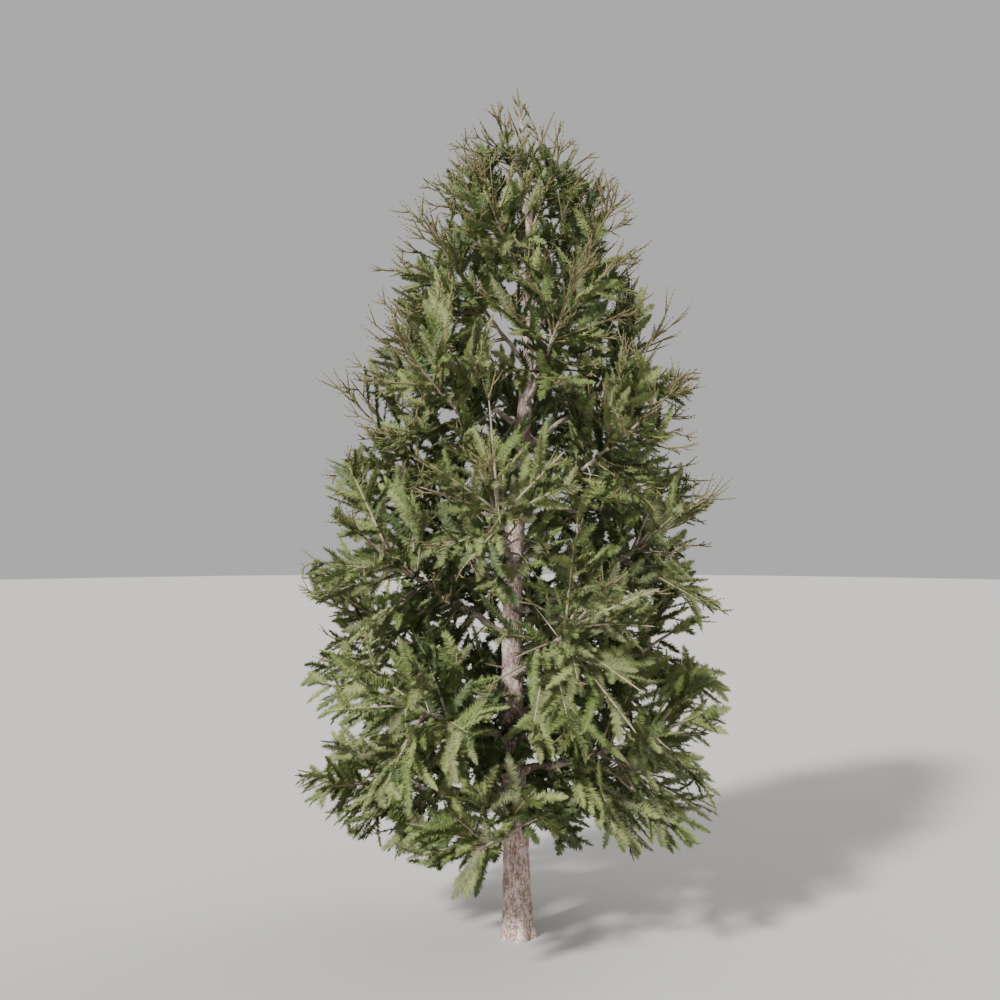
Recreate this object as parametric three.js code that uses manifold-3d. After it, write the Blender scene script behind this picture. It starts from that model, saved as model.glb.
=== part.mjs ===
// A young larch that stands alone: a swaying trunk with a flared foot, branches in a rising spiral,
// and at the end of every branch a mass of twigs with toothed sprays of needles.
// Millimetres, +Z up. The origin is the middle of the flat cut at ground level.
// The side that the photograph shows faces -Y.

import * as THREE from "three";
import { mergeVertices } from "three/addons/utils/BufferGeometryUtils.js";
import Module from "manifold-3d";

const wasm = await Module();
wasm.setup();

const { degToRad, lerp, seededRandom } = THREE.MathUtils;

// Whole tree
const HEIGHT = 10000;
const CROWN_RADIUS = 2650;
const CROWN_WAIST = 1700;
const CROWN_FOOT = 820;
const CROWN_FULLNESS = 2.4;
const CROWN_POINT = 0.7;
const SEED = 80;
const SEAM = 0.3;

// Trunk
const TRUNK_RADIUS = 168;
const TRUNK_TIP_RADIUS = 5;
const TRUNK_TAPER = 0.78;
const SWAY = 205;
const SWAY_BACK = 90;
const FLARE = 46;
const FLARE_HEIGHT = 260;
const FLARE_LOBES = 5;
const LOBE_DEPTH = 0.14;
const TRUNK_SIDES = 12;
const TRUNK_RINGS = 18;
const RING_CROWDING = 1.6;

// Branches, counted from the lowest up
const BRANCHES = 34;
const BOUGHS = 22;
const FIRST_FOOT = 1230;
const LAST_FOOT = 9420;
const FOOT_CROWDING = 1.08;
const FIRST_TURN = degToRad(270);
const GOLDEN_TURN = degToRad(137.508);
const TURN_PLAY = degToRad(13);
const LOW_PITCH = degToRad(7);
const HIGH_PITCH = degToRad(63);
const PITCH_PLAY = degToRad(6);
const SHORTEST_REACH = 0.91;
const SAG = 0.07;
const LIMB_SHARE = 0.3;
const STEM_SHARE = 0.75;
const LIMB_TO_TRUNK = 0.34;
const LIMB_TIP_RADIUS = 6;
const LIMB_TAPER = 0.8;
const LIMB_SIDES = 6;
const LIMB_RINGS = 2;

// Side shoots and their sprays
const SHOOTS = 8;
const INNER_SHOOT = 0.2;
const LOW_SPREAD = 0.58;
const HIGH_SPREAD = 0.8;
const SHOOT_SHRINK = 0.3;
const SHOOT_TURN = degToRad(140);
const SHOOT_ROLL = degToRad(12);
const FACE_ROLL = degToRad(25);
const ROOT_ANGLE = degToRad(66);
const TIP_ANGLE = degToRad(42);
const LOW_DROOP = -0.3;
const HIGH_LIFT = 0.15;
const SHOOT_RADIUS = 0.011;
const SHOOT_SIZES = [1, 0.92, 0.84, 0.76, 0.68, 0.6, 0.52, 0.44, 0.36];
const SPRAY_TEETH = 2;
const SPRAY_STATIONS = 2 * SPRAY_TEETH + 2;
const SPRAY_NECK = 0.16;
const SPRAY_HALF = 0.34;
const SPRAY_SHOULDER = 0.72;
const SPRAY_NOTCH = 0.52;
const SPRAY_LEAN = 0.12;

// Bare twigs at the ends of the upper branches
const BARE_FROM = 0.45;
const BARE_TWIGS = 4;
const BARE_ANGLE = degToRad(36);
const BARE_RADIUS = 7;

// Room that a mass leaves to its neighbours and to every limb
const NEIGHBOUR_MARGIN = 15;
const LIMB_MARGIN = 14;
const CROWN_SLACK = 40;

const UP = new THREE.Vector3(0, 0, 1);

// A seeded share from 0 to 1: the same for the same branch, shoot and trait in every run.
function draw(branch, shoot, trait) {
  return seededRandom(SEED * 65537 + branch * 1009 + shoot * 31 + trait);
}

// A seeded share from -1 to 1.
function play(branch, shoot, trait) {
  return 2 * draw(branch, shoot, trait) - 1;
}

// The middle line of the trunk: upright at the foot, then swaying more towards the top.
class TrunkLine extends THREE.Curve {
  getPoint(share, target = new THREE.Vector3()) {
    const x = -SWAY * share * Math.sin(2 * Math.PI * share);
    const y = SWAY_BACK * share * Math.sin(3 * Math.PI * share);
    return target.set(x, y, HEIGHT * share);
  }

  getTangent(share, target = new THREE.Vector3()) {
    const slow = 2 * Math.PI * share;
    const quick = 3 * Math.PI * share;
    const x = -SWAY * (Math.sin(slow) + slow * Math.cos(slow));
    const y = SWAY_BACK * (Math.sin(quick) + quick * Math.cos(quick));
    return target.set(x, y, HEIGHT).normalize();
  }
}

const trunkLine = new TrunkLine();

function trunkRadius(share) {
  const taper = TRUNK_RADIUS * (1 - share) ** TRUNK_TAPER + TRUNK_TIP_RADIUS * share;
  return taper + FLARE * Math.exp((-share * HEIGHT) / FLARE_HEIGHT);
}

// The flare stands out in a few rounded root spurs that die away up the trunk.
function trunkOutline(share, angle) {
  const fade = Math.exp((-share * HEIGHT) / FLARE_HEIGHT);
  return trunkRadius(share) * (1 + LOBE_DEPTH * Math.cos(FLARE_LOBES * angle) * fade);
}

// Half the width of the crown at a height above ground.
function crownRadius(height) {
  if (height < CROWN_WAIST) {
    const drop = (CROWN_WAIST - height) / (CROWN_WAIST - CROWN_FOOT);
    return CROWN_RADIUS * Math.sqrt(Math.max(0, 1 - drop * drop));
  }
  const climb = Math.min(1, (height - CROWN_WAIST) / (HEIGHT - CROWN_WAIST));
  return CROWN_RADIUS * (1 - climb ** CROWN_FULLNESS) ** CROWN_POINT;
}

// A round limb: a cylinder bent along a stretch of a curve, its radius set at each ring.
function limb(curve, { from, to, radiusAt, sides, rings, crowding = 1, level = UP }) {
  const shape = new THREE.CylinderGeometry(1, 1, 1, sides, rings);
  const place = shape.getAttribute("position");
  const vertex = new THREE.Vector3();
  for (let i = 0; i < place.count; i += 1) {
    vertex.fromBufferAttribute(place, i);
    const share = lerp(from, to, (vertex.y + 0.5) ** crowding);
    const along = curve.getTangent(share);
    const across = new THREE.Vector3().crossVectors(level, along).normalize();
    const upward = new THREE.Vector3().crossVectors(across, along);
    const radius = radiusAt(share, Math.atan2(vertex.z, vertex.x));
    const point = curve.getPoint(share);
    point.addScaledVector(across, radius * vertex.x).addScaledVector(upward, radius * vertex.z);
    place.setXYZ(i, point.x, point.y, point.z);
  }
  return shape;
}

// A three-sided twig that tapers to a point.
function twig({ foot, direction, length }, radius) {
  const shape = new THREE.ConeGeometry(radius, length, 3, 1);
  const turn = new THREE.Quaternion().setFromUnitVectors(new THREE.Vector3(0, 1, 0), direction);
  shape.translate(0, length / 2, 0);
  shape.applyQuaternion(turn);
  shape.translate(foot.x, foot.y, foot.z);
  return shape;
}

// The plan of a spray at one of its stations, from its foot to its tip: how far out the station lies
// and how far its edge stands off the middle, as shares of the length. After a bare foot and neck,
// teeth that lean forward take turns with notches.
function sprayStation(station) {
  if (station < 2 || station === SPRAY_STATIONS) {
    return { out: station === 1 ? SPRAY_NECK : station / SPRAY_STATIONS, half: 0, lean: 0 };
  }
  const onBlade = (station - 1) / (SPRAY_STATIONS - 1);
  const isTooth = station % 2 === 0;
  const envelope = SPRAY_HALF * Math.sin(Math.PI * onBlade ** SPRAY_SHOULDER);
  return {
    out: lerp(SPRAY_NECK, 1, onBlade),
    half: isTooth ? envelope : SPRAY_NOTCH * envelope,
    lean: isTooth ? SPRAY_LEAN : 0,
  };
}

// A twig that opens into a flat toothed blade: a three-sided cone, its side edges drawn out to the teeth
// and its third edge left as the ridge.
function spray({ foot, direction, face, length }) {
  const shape = new THREE.ConeGeometry(1, 1, 3, SPRAY_STATIONS);
  const place = shape.getAttribute("position");
  const across = new THREE.Vector3().crossVectors(direction, face);
  for (let i = 0; i < place.count; i += 1) {
    const station = Math.round((place.getY(i) + 0.5) * SPRAY_STATIONS);
    const { out, half, lean } = sprayStation(station);
    const radius = SHOOT_RADIUS * length * (1 - 0.6 * out);
    const spread = 1 - station / SPRAY_STATIONS || 1;
    const sideways = place.getX(i) / spread;
    const side = Math.abs(sideways) < 0.5 ? 0 : Math.sign(sideways);
    const point = foot.clone().addScaledVector(direction, length * (out + Math.abs(side) * lean));
    point.addScaledVector(across, sideways * radius + side * half * length);
    point.addScaledVector(face, (place.getZ(i) / spread) * radius);
    place.setXYZ(i, point.x, point.y, point.z);
  }
  return shape;
}

function asSolid(shape) {
  shape.deleteAttribute("normal");
  shape.deleteAttribute("uv");
  const merged = mergeVertices(shape, 1e-3);
  return new wasm.Manifold(new wasm.Mesh({
    numProp: 3,
    vertProperties: new Float32Array(merged.getAttribute("position").array),
    triVerts: new Uint32Array(merged.getIndex().array),
  }));
}

// The triangles of the largest connected shell: loose scraps and closed hollows are left behind.
function largestShell(corners) {
  const parent = new Map();
  const rootOf = (corner) => {
    let root = corner;
    while (parent.has(root)) {
      root = parent.get(root);
    }
    return root;
  };
  for (let i = 0; i < corners.length; i += 1) {
    const root = rootOf(corners[i]);
    const first = rootOf(corners[i - (i % 3)]);
    if (root !== first) {
      parent.set(root, first);
    }
  }
  const shells = Map.groupBy(corners, rootOf);
  const largest = [...shells.values()].sort((a, b) => b.length - a.length)[0];
  return new Uint32Array(largest);
}

function asShape(solid) {
  const mesh = solid.getMesh();
  const shape = new THREE.BufferGeometry();
  shape.setAttribute("position", new THREE.BufferAttribute(new Float32Array(mesh.vertProperties), 3));
  shape.setIndex(new THREE.BufferAttribute(largestShell(mesh.triVerts), 1));
  return mergeVertices(shape, 1e-3);
}

function trunkShape(margin) {
  return limb(trunkLine, {
    from: 0,
    to: 1,
    radiusAt: (share, angle) => trunkOutline(share, angle) + margin,
    sides: TRUNK_SIDES,
    rings: TRUNK_RINGS,
    crowding: RING_CROWDING,
    level: new THREE.Vector3(1, 0, 0),
  });
}

// The length at which a straight line from a foot on the trunk leaves the crown.
function lengthToCrown(foot, outward) {
  let inside = 0;
  let outside = 2 * CROWN_RADIUS;
  while (outside - inside > 1) {
    const length = (inside + outside) / 2;
    const height = foot.z + outward.z * length;
    const isInside = Math.hypot(outward.x, outward.y) * length < crownRadius(height);
    inside = isInside ? length : inside;
    outside = isInside ? outside : length;
  }
  return inside;
}

// One branch: its path from the middle of the trunk to the edge of the crown, bowed a little downward.
function growBranch(index) {
  const rise = (index + 0.5) / BRANCHES;
  const footHeight = lerp(FIRST_FOOT, LAST_FOOT, rise ** FOOT_CROWDING);
  const turn = FIRST_TURN + index * GOLDEN_TURN + TURN_PLAY * play(index, 0, 1);
  const pitch = lerp(LOW_PITCH, HIGH_PITCH, rise ** 0.85) + PITCH_PLAY * play(index, 0, 2);
  const foot = trunkLine.getPoint(footHeight / HEIGHT);
  const flat = Math.cos(pitch);
  const outward = new THREE.Vector3(Math.cos(turn) * flat, Math.sin(turn) * flat, Math.sin(pitch));
  const length = lengthToCrown(foot, outward) * lerp(SHORTEST_REACH, 1, draw(index, 0, 3));
  const tip = foot.clone().addScaledVector(outward, length);
  const belly = foot.clone().lerp(tip, 0.5);
  belly.z -= SAG * length;
  const path = new THREE.QuadraticBezierCurve3(foot, belly, tip);
  const footRadius = LIMB_TO_TRUNK * trunkRadius(footHeight / HEIGHT);
  const points = path.getPoints(10);
  return {
    index,
    rise,
    length,
    path,
    hasBough: index < BOUGHS,
    radiusAt: (share) => footRadius * (1 - share) ** LIMB_TAPER + LIMB_TIP_RADIUS,
    lines: points.slice(1).map((point, i) => new THREE.Line3(points[i], point)),
  };
}

// A shoot of a branch: where it leaves, which way it points, which way its spray faces, how long it is.
// The shoots wind around the stem, so that their sprays don't cross.
function growShoot(branch, shoot) {
  const out = (shoot + 0.5 + 0.2 * play(branch.index, shoot, 4)) / SHOOTS;
  const share = lerp(branch.hasBough ? LIMB_SHARE + 0.03 : INNER_SHOOT, STEM_SHARE - 0.03, out);
  const along = branch.path.getTangent(share);
  const level = new THREE.Vector3().crossVectors(UP, along).normalize();
  const upward = new THREE.Vector3().crossVectors(along, level);
  const roll = shoot * SHOOT_TURN + branch.index + SHOOT_ROLL * play(branch.index, shoot, 5);
  const angle = lerp(ROOT_ANGLE, TIP_ANGLE, out);
  const direction = along.clone().multiplyScalar(Math.cos(angle));
  direction.addScaledVector(level, Math.cos(roll) * Math.sin(angle));
  direction.addScaledVector(upward, Math.sin(roll) * Math.sin(angle));
  direction.z += lerp(LOW_DROOP, HIGH_LIFT, branch.rise);
  direction.normalize();
  const face = along.clone().addScaledVector(direction, -along.dot(direction)).normalize();
  face.applyAxisAngle(direction, FACE_ROLL * play(branch.index, shoot, 10));
  const reach = lerp(LOW_SPREAD, HIGH_SPREAD, branch.rise) * branch.length;
  const length = reach * (1 - SHOOT_SHRINK * out);
  return { foot: branch.path.getPoint(share), direction, face, length };
}

// The shoot that carries the stem of a branch on to its tip.
function growLeader(branch) {
  const foot = branch.path.getPoint(STEM_SHARE - 0.02);
  const tip = branch.path.getPoint(1);
  const direction = tip.clone().sub(foot).normalize();
  const level = new THREE.Vector3().crossVectors(UP, direction).normalize();
  const face = new THREE.Vector3().crossVectors(direction, level);
  face.applyAxisAngle(direction, FACE_ROLL * play(branch.index, 0, 11));
  return { foot, direction, face, length: foot.distanceTo(tip) };
}

// A bare twig of the fan at the end of an upper branch. The first runs on to the tip.
function growBareTwig(branch, index) {
  const leader = growLeader(branch);
  if (index === 0) {
    return leader;
  }
  const roll = (2 * Math.PI * (index + 0.5 * draw(branch.index, index, 7))) / BARE_TWIGS;
  const slant = leader.face.clone().applyAxisAngle(leader.direction, roll);
  const angle = BARE_ANGLE * lerp(0.6, 1, draw(branch.index, index, 8));
  const direction = leader.direction.clone().multiplyScalar(Math.cos(angle));
  direction.addScaledVector(slant, Math.sin(angle));
  const length = leader.length * lerp(0.65, 0.95, draw(branch.index, index, 9));
  return { foot: branch.path.getPoint(STEM_SHARE - 0.02 - 0.03 * index), direction, length };
}

function distanceTo(lines, point) {
  const nearest = new THREE.Vector3();
  const distances = lines.map((line) => line.closestPointToPoint(point, true, nearest).distanceTo(point));
  return Math.min(...distances);
}

// How far a point stands clear of the skin of a limb.
function limbClearance(curve, radiusAt, to, point) {
  let clearance = Infinity;
  for (let step = 0; step <= 24; step += 1) {
    const share = (to * step) / 24;
    clearance = Math.min(clearance, curve.getPoint(share).distanceTo(point) - radiusAt(share));
  }
  return clearance;
}

function trunkClearance(point) {
  const share = Math.min(1, point.z / HEIGHT);
  const middle = trunkLine.getPoint(share);
  return Math.hypot(point.x - middle.x, point.y - middle.y) - trunkRadius(share);
}

// Whether a point lies inside the crown, nearer to its own branch than to any other, and off every limb.
function isOwnSpace(branch, point) {
  const middle = trunkLine.getPoint(Math.min(1, point.z / HEIGHT));
  const offMiddle = Math.hypot(point.x - middle.x, point.y - middle.y);
  if (offMiddle > crownRadius(point.z) + CROWN_SLACK || trunkClearance(point) < LIMB_MARGIN) {
    return false;
  }
  const own = distanceTo(branch.lines, point);
  const isNearest = branches.every(
    (other) => other === branch || distanceTo(other.lines, point) > own + 2 * NEIGHBOUR_MARGIN,
  );
  return isNearest && (!branch.hasBough
    || limbClearance(branch.path, branch.radiusAt, LIMB_SHARE, point) > LIMB_MARGIN);
}

// Points spread over the plan of a spray, out to its teeth.
function sprayPoints({ foot, direction, face, length }) {
  const across = new THREE.Vector3().crossVectors(direction, face);
  const points = [];
  for (let station = 1; station <= SPRAY_STATIONS; station += 1) {
    const { out, half, lean } = sprayStation(station);
    for (const side of [-1, -0.5, 0, 0.5, 1]) {
      const point = foot.clone().addScaledVector(direction, length * (out + Math.abs(side) * lean));
      points.push(point.addScaledVector(across, side * half * length));
    }
  }
  return points;
}

// The largest size of a shoot whose spray keeps to the space of its mass, or nothing.
function fitted(branch, shoot) {
  const sizes = SHOOT_SIZES.map((size) => ({ ...shoot, length: size * shoot.length }));
  return sizes.find((sized) => sprayPoints(sized).every((point) => isOwnSpace(branch, point)));
}

function fitsBare(branch, { foot, direction, length }) {
  const points = [0.35, 0.7, 1].map((share) => foot.clone().addScaledVector(direction, share * length));
  return points.every((point) => isOwnSpace(branch, point));
}

// The inner, bare stretch of a branch, its root cut to the skin of the trunk.
function boughSolid(branch, trunkCutter) {
  const shape = limb(branch.path, {
    from: 0,
    to: LIMB_SHARE,
    radiusAt: branch.radiusAt,
    sides: LIMB_SIDES,
    rings: LIMB_RINGS,
  });
  return asSolid(shape).subtract(trunkCutter);
}

// A mass of foliage: the stem that carries a branch on, its shoots with their sprays,
// and on the upper branches a fan of bare twigs.
function massSolid(branch, trunkCutter) {
  const stem = limb(branch.path, {
    from: branch.hasBough ? LIMB_SHARE + SEAM / branch.length : 0,
    to: STEM_SHARE,
    radiusAt: (share) => 0.86 * branch.radiusAt(share),
    sides: 3,
    rings: 3,
  });
  const isBareTipped = branch.rise > BARE_FROM;
  const leafy = Array.from({ length: SHOOTS }, (_, shoot) => growShoot(branch, shoot));
  const bare = Array.from({ length: BARE_TWIGS }, (_, index) => growBareTwig(branch, index));
  const sprays = (isBareTipped ? leafy : [growLeader(branch), ...leafy])
    .map((shoot) => fitted(branch, shoot))
    .filter((shoot) => shoot !== undefined);
  const twigs = isBareTipped ? bare.filter((shoot) => fitsBare(branch, shoot)) : [];
  const pieces = [
    asSolid(stem),
    ...sprays.map((shoot) => asSolid(spray(shoot))),
    ...twigs.map((shoot) => asSolid(twig(shoot, BARE_RADIUS))),
  ];
  return wasm.Manifold.union(pieces).subtract(trunkCutter);
}

// A named mesh whose own origin is at a point of the tree.
function part(name, shape, origin, finish) {
  shape.translate(-origin.x, -origin.y, -origin.z);
  const mesh = new THREE.Mesh(shape, new THREE.MeshStandardMaterial(finish));
  mesh.name = name;
  mesh.position.copy(origin);
  return mesh;
}

const BARK = { color: 0x9a8880, roughness: 0.95, metalness: 0 };
const BOUGH_BARK = { color: 0x8a7f70, roughness: 0.9, metalness: 0 };
const NEEDLES = { color: 0x767a4c, roughness: 0.8, metalness: 0 };

const branches = Array.from({ length: BRANCHES }, (_, index) => growBranch(index));
const trunkCutter = asSolid(trunkShape(SEAM / Math.cos(Math.PI / TRUNK_SIDES)));

const larch = new THREE.Group();
larch.name = "larch_tree";
larch.add(part("trunk", trunkShape(0), new THREE.Vector3(), BARK));
for (const branch of branches) {
  const number = String(branch.index + 1).padStart(2, "0");
  if (branch.hasBough) {
    const bough = asShape(boughSolid(branch, trunkCutter));
    larch.add(part(`bough_${number}`, bough, branch.path.getPoint(0), BOUGH_BARK));
  }
  const mass = asShape(massSolid(branch, trunkCutter));
  larch.add(part(`foliage_${number}`, mass, branch.path.getPoint(LIMB_SHARE), NEEDLES));
}

export default larch;
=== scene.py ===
import math
from dataclasses import dataclass, replace
from functools import cache

import bmesh
import bpy
import numpy as np
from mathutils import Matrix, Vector, noise


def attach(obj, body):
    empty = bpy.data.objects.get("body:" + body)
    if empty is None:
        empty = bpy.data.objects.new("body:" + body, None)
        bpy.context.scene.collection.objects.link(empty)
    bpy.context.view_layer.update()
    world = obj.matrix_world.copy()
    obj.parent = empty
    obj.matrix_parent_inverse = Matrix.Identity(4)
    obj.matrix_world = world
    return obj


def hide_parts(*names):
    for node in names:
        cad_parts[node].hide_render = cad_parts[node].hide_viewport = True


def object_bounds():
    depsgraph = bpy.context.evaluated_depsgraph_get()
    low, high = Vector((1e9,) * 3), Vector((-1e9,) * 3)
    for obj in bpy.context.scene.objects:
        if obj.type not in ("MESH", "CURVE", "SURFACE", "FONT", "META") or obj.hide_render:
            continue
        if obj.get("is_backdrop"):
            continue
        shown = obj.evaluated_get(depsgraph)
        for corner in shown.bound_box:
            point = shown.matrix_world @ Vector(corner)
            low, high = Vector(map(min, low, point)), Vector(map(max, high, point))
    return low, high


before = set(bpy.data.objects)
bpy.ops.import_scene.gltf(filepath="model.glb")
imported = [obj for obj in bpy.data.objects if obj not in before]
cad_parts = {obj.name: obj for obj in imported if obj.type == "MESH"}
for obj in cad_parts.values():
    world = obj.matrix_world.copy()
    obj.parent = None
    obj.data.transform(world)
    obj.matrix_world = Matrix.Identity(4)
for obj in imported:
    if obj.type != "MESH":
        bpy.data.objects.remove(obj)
CAD_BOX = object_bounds()

bl_info = {
    "name": "Larch Tree",
    "version": (1, 0, 0),
    "blender": (4, 5, 0),
    "location": "View3D > Sidebar > Larch",
    "description": "A young larch: barked trunk and boughs, twigs, bare spur shoots and sprays of needles",
    "category": "Add Mesh",
}

MM = 0.001

# Ways in the frame, what lays a way level, and from what rise a unit way counts as steep
UP = np.array((0.0, 0.0, 1.0))
RIGHT = np.array((1.0, 0.0, 0.0))
FRONT = np.array((0.0, -1.0, 0.0))
BACK = -FRONT
LEVEL = np.array((1, 1, 0))
STEEP = 0.9

# The growth rule of the solids, in metres. Each value has the same name and size in the part's source.
HEIGHT = 10.0
CROWN_RADIUS = 2.65
CROWN_WAIST = 1.7
CROWN_FOOT = 0.82
CROWN_FULLNESS = 2.4
CROWN_POINT = 0.7
SEED = 80
TRUNK_RADIUS = 0.168
TRUNK_TIP_RADIUS = 0.005
TRUNK_TAPER = 0.78
SWAY = 0.205
SWAY_BACK = 0.09
FLARE = 0.046
FLARE_HEIGHT = 0.26
FLARE_LOBES = 5
LOBE_DEPTH = 0.14
BRANCHES = 34
BOUGHS = 22
FIRST_FOOT = 1.23
LAST_FOOT = 9.42
FOOT_CROWDING = 1.08
FIRST_TURN = math.radians(270)
GOLDEN_TURN = math.radians(137.508)
TURN_PLAY = math.radians(13)
LOW_PITCH = math.radians(7)
HIGH_PITCH = math.radians(63)
PITCH_PLAY = math.radians(6)
SHORTEST_REACH = 0.91
SAG = 0.07
LIMB_SHARE = 0.3
STEM_SHARE = 0.75
LIMB_TO_TRUNK = 0.34
LIMB_TIP_RADIUS = 0.006
LIMB_TAPER = 0.8
SHOOTS = 8
INNER_SHOOT = 0.2
LOW_SPREAD = 0.58
HIGH_SPREAD = 0.8
SHOOT_SHRINK = 0.3
SHOOT_TURN = math.radians(140)
SHOOT_ROLL = math.radians(12)
FACE_ROLL = math.radians(25)
ROOT_ANGLE = math.radians(66)
TIP_ANGLE = math.radians(42)
LOW_DROOP = -0.3
HIGH_LIFT = 0.15
SHOOT_SIZES = (1, 0.92, 0.84, 0.76, 0.68, 0.6, 0.52, 0.44, 0.36)
SPRAY_STATIONS = 6
SPRAY_NECK = 0.16
SPRAY_HALF = 0.34
SPRAY_SHOULDER = 0.72
SPRAY_NOTCH = 0.52
SPRAY_LEAN = 0.12
BARE_FROM = 0.45
NEIGHBOUR_MARGIN = 0.015
LIMB_MARGIN = 0.014
CROWN_SLACK = 0.04

# Small values of the same rule
PITCH_BEND = 0.85
SHOOT_PLAY = 0.2
SHOOT_INSET = 0.03
LEADER_INSET = 0.02
SPRAY_ACROSS = (-1, -0.5, 0, 0.5, 1)
BRANCH_STRETCHES = 10
LIMB_SAMPLES = 25

# Which of the seeded draws of a branch or shoot decides what, numbered as in the part's source
TURN_DRAW = 1
PITCH_DRAW = 2
REACH_DRAW = 3
PLACE_DRAW = 4
ROLL_DRAW = 5
FACE_DRAW = 10
LEADER_DRAW = 11

# The finer growth, which only this script carries out, has a draw and seeds of its own
EDGE_DRAW = 12
SPRIG_SEED = SEED
BARE_SEED = SEED + 1
SPUR_SEED = SEED + 2
NEEDLE_SEED = SEED + 3
DEAD_SEED = SEED + 4
TRUNK_SEED = SEED + 5

# More shoots between those of the solids, and how far all of them bend down or up
EXTRA_SHOOTS = 14
EXTRA_INNER_SHARE = 0.2
EXTRA_PLAY = 0.4
LOW_HANG = -0.1
HIGH_HANG = 0.07

# Short leafy shoots straight from the lower trunk, but not in front where the trunk shows
TRUNK_SHOOTS = 64
TRUNK_SHOOTS_FROM = 1.5
TRUNK_SHOOTS_TO = 5.2
TRUNK_SHOOT_TURN = 0.4
TRUNK_SHOOT_CLIMBS = (-0.3, 0.4)
TRUNK_SHOOT_LENGTHS = (0.6, 0.95)
TRUNK_SHOWS_FROM = 3.2
TRUNK_SHOWS_SIDE = 0.1

# Sprigs in two rows along a shoot, one in four of them standing out of its plane. Angles are radians.
SPRIG_STEP = 0.23
FEWEST_SPRIGS = 3
FIRST_SPRIG = 0.16
LAST_SPRIG = 0.97
SPRIG_PLACES = (0.2, 0.8)
SPRIG_ROOT_ANGLE = math.radians(62)
SPRIG_TIP_ANGLE = math.radians(36)
SPRIG_ANGLE_PLAY = 0.12
SPRIG_TILT = math.radians(22)
STANDING_STEP = 4
STANDING_TILTS = (0.9, 1.4)
STANDING_SIZE = 0.7
SPRIG_SWEEP = 0.3
SWEEP_LIFT = 0.12
SWEEP_SHARES = (0.4, 1)
SPRIG_STRETCHES = (1.05, 1.5)
SPRIG_SHORTEST = 0.28
SPRIG_LONGEST = 0.74
HIGH_SPRIG = 0.8
LOW_SPRIG_BEND = -0.1
HIGH_SPRIG_BEND = 0.12
SPRIG_BEND_PLAY = 0.13
TIP_SPRIG_FROM = 0.45

# What turns the flat side of a sprig
FACE_UP = 0.7
FACE_OUT = 0.5
FACE_PLAY = 0.35

# Short sprigs straight on a limb, with rolls in half turns round it
LIMB_SPRIG_STEP = 0.14
FIRST_LIMB_SPRIG = 0.22
LAST_LIMB_SPRIG = 0.96
LIMB_SPRIG_ROLLS = (0.9, 2.1)
LIMB_SPRIG_ANGLES = (0.6, 1.1)
LIMB_SPRIG_LENGTHS = (0.24, 0.42)
LOW_LIMB_SPRIG_BEND = -0.14
HIGH_LIMB_SPRIG_BEND = 0.1
LIMB_SPRIG_BEND_PLAY = 0.08

# Sprigs that hang from the lowest bough beside the foot of the trunk
BOLE_SPRIG_PLACES = (0.6, 0.66, 0.72, 0.78)
BOLE_SPRIG_WAY = np.array((-0.4, 0, -1))
BOLE_SPRIG_PLAY = 0.14
BOLE_SPRIG_TURN = np.array((-0.3, 0, 0))
BOLE_SPRIG_LENGTHS = (0.5, 0.64)
BOLE_SPRIG_CURL = 0.08

# The crown's edge: its tiers, the tufts at the ends of branches, and how far each kind of growth reaches
SPRIG_LEAST_REACH = -0.16
SPRIG_MOST_REACH = 0.05
FIRST_TIER = 1.7
TIER_STEP = 1.2
TIER_DEPTH = 0.32
TIER_TILT = 0.7
TUFT_RADIUS = 0.6
TUFT_REACH = 0.12
WIDEST_REACH = 2.57
SHOOT_ROOM = 0.3
BARE_TIP_ROOM = 0.2
BARE_SLACK = 0.36
TOP_BARE_SLACK = -0.05
TOP_TAPER = 2.2
LEADER_LENGTH = 0.25
CUT_SIZES = (1, 0.84, 0.68, 0.54)

# The skirt of the crown, which is lifted in front, most of all where the foot of the trunk shows
LOWEST_LEAF = 0.66
SKIRT_LIFT = 0.4
BOLE_GAP = 0.3
BOLE_GAP_PLACE = 0.16
BOLE_GAP_WIDTH = 0.3

# Where foliage leaves the wood bare: over the middle stretches of limbs, and in windows before the trunk
LIMB_CLEARANCE = 0.28
LIMB_SHOWS_FROM = 2
LIMB_SHOWS_TO = 8
OVER_LIFT = 0.5
OVER_SHARE = 0.3
WINDOW_HEIGHTS = (3.15, 3.5, 4.7, 8.3)
WINDOW_RADIUS = 0.2

# Where the key light stands, in degrees: to the left of the camera, and above the horizon
KEY_AZIMUTH = -36
KEY_ELEVATION = 34

# Fans of bare shoots: at the ends of branches, on their side shoots, and round the top of the trunk
FANS_FROM = 0.2
FAN_GROWTH = 0.42
FAN_SHOOTS = 13
FULL_FAN_BRANCH = 1.6
FAN_THINNING = 1.5
FAN_STRETCH = (0.78, 0.99)
FAN_AXIS = 0.9
FAN_LENGTHS = np.array((0.32, 0.6))
FAN_LEAST_SIZE = 0.3
FAN_SIZE_GAIN = 0.45
SIDE_FAN_SHOOTS = 4
SIDE_FAN_STRETCH = (0.66, 0.98)
SIDE_FAN_LENGTHS = (0.22, 0.38)
TOP_FAN_SHOOTS = 7
TOP_FAN_STRETCH = (0.93, 0.98)
TOP_FAN_LENGTHS = (0.08, 0.2)
FAN_ROLL_PLAY = 0.5
FAN_ANGLES = (0.15, 0.75)
FAN_LIFT = 0.14
FAN_BEND_PLAY = 0.07
FORK_ANGLES = (0.45, 0.8)
FORK_LENGTHS = (0.4, 0.62)
FORK_PLACES = (0.3, 0.65)

# Crooked dead twigs on the boughs
DEAD_TWIGS = 6
DEAD_TWIG_PLACES = (0.16, 0.6)
DEAD_TWIG_LEANS = (0, 0.9)
DEAD_TWIG_BEND = 0.3
DEAD_TWIG_LENGTHS = (0.2, 0.5)

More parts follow.
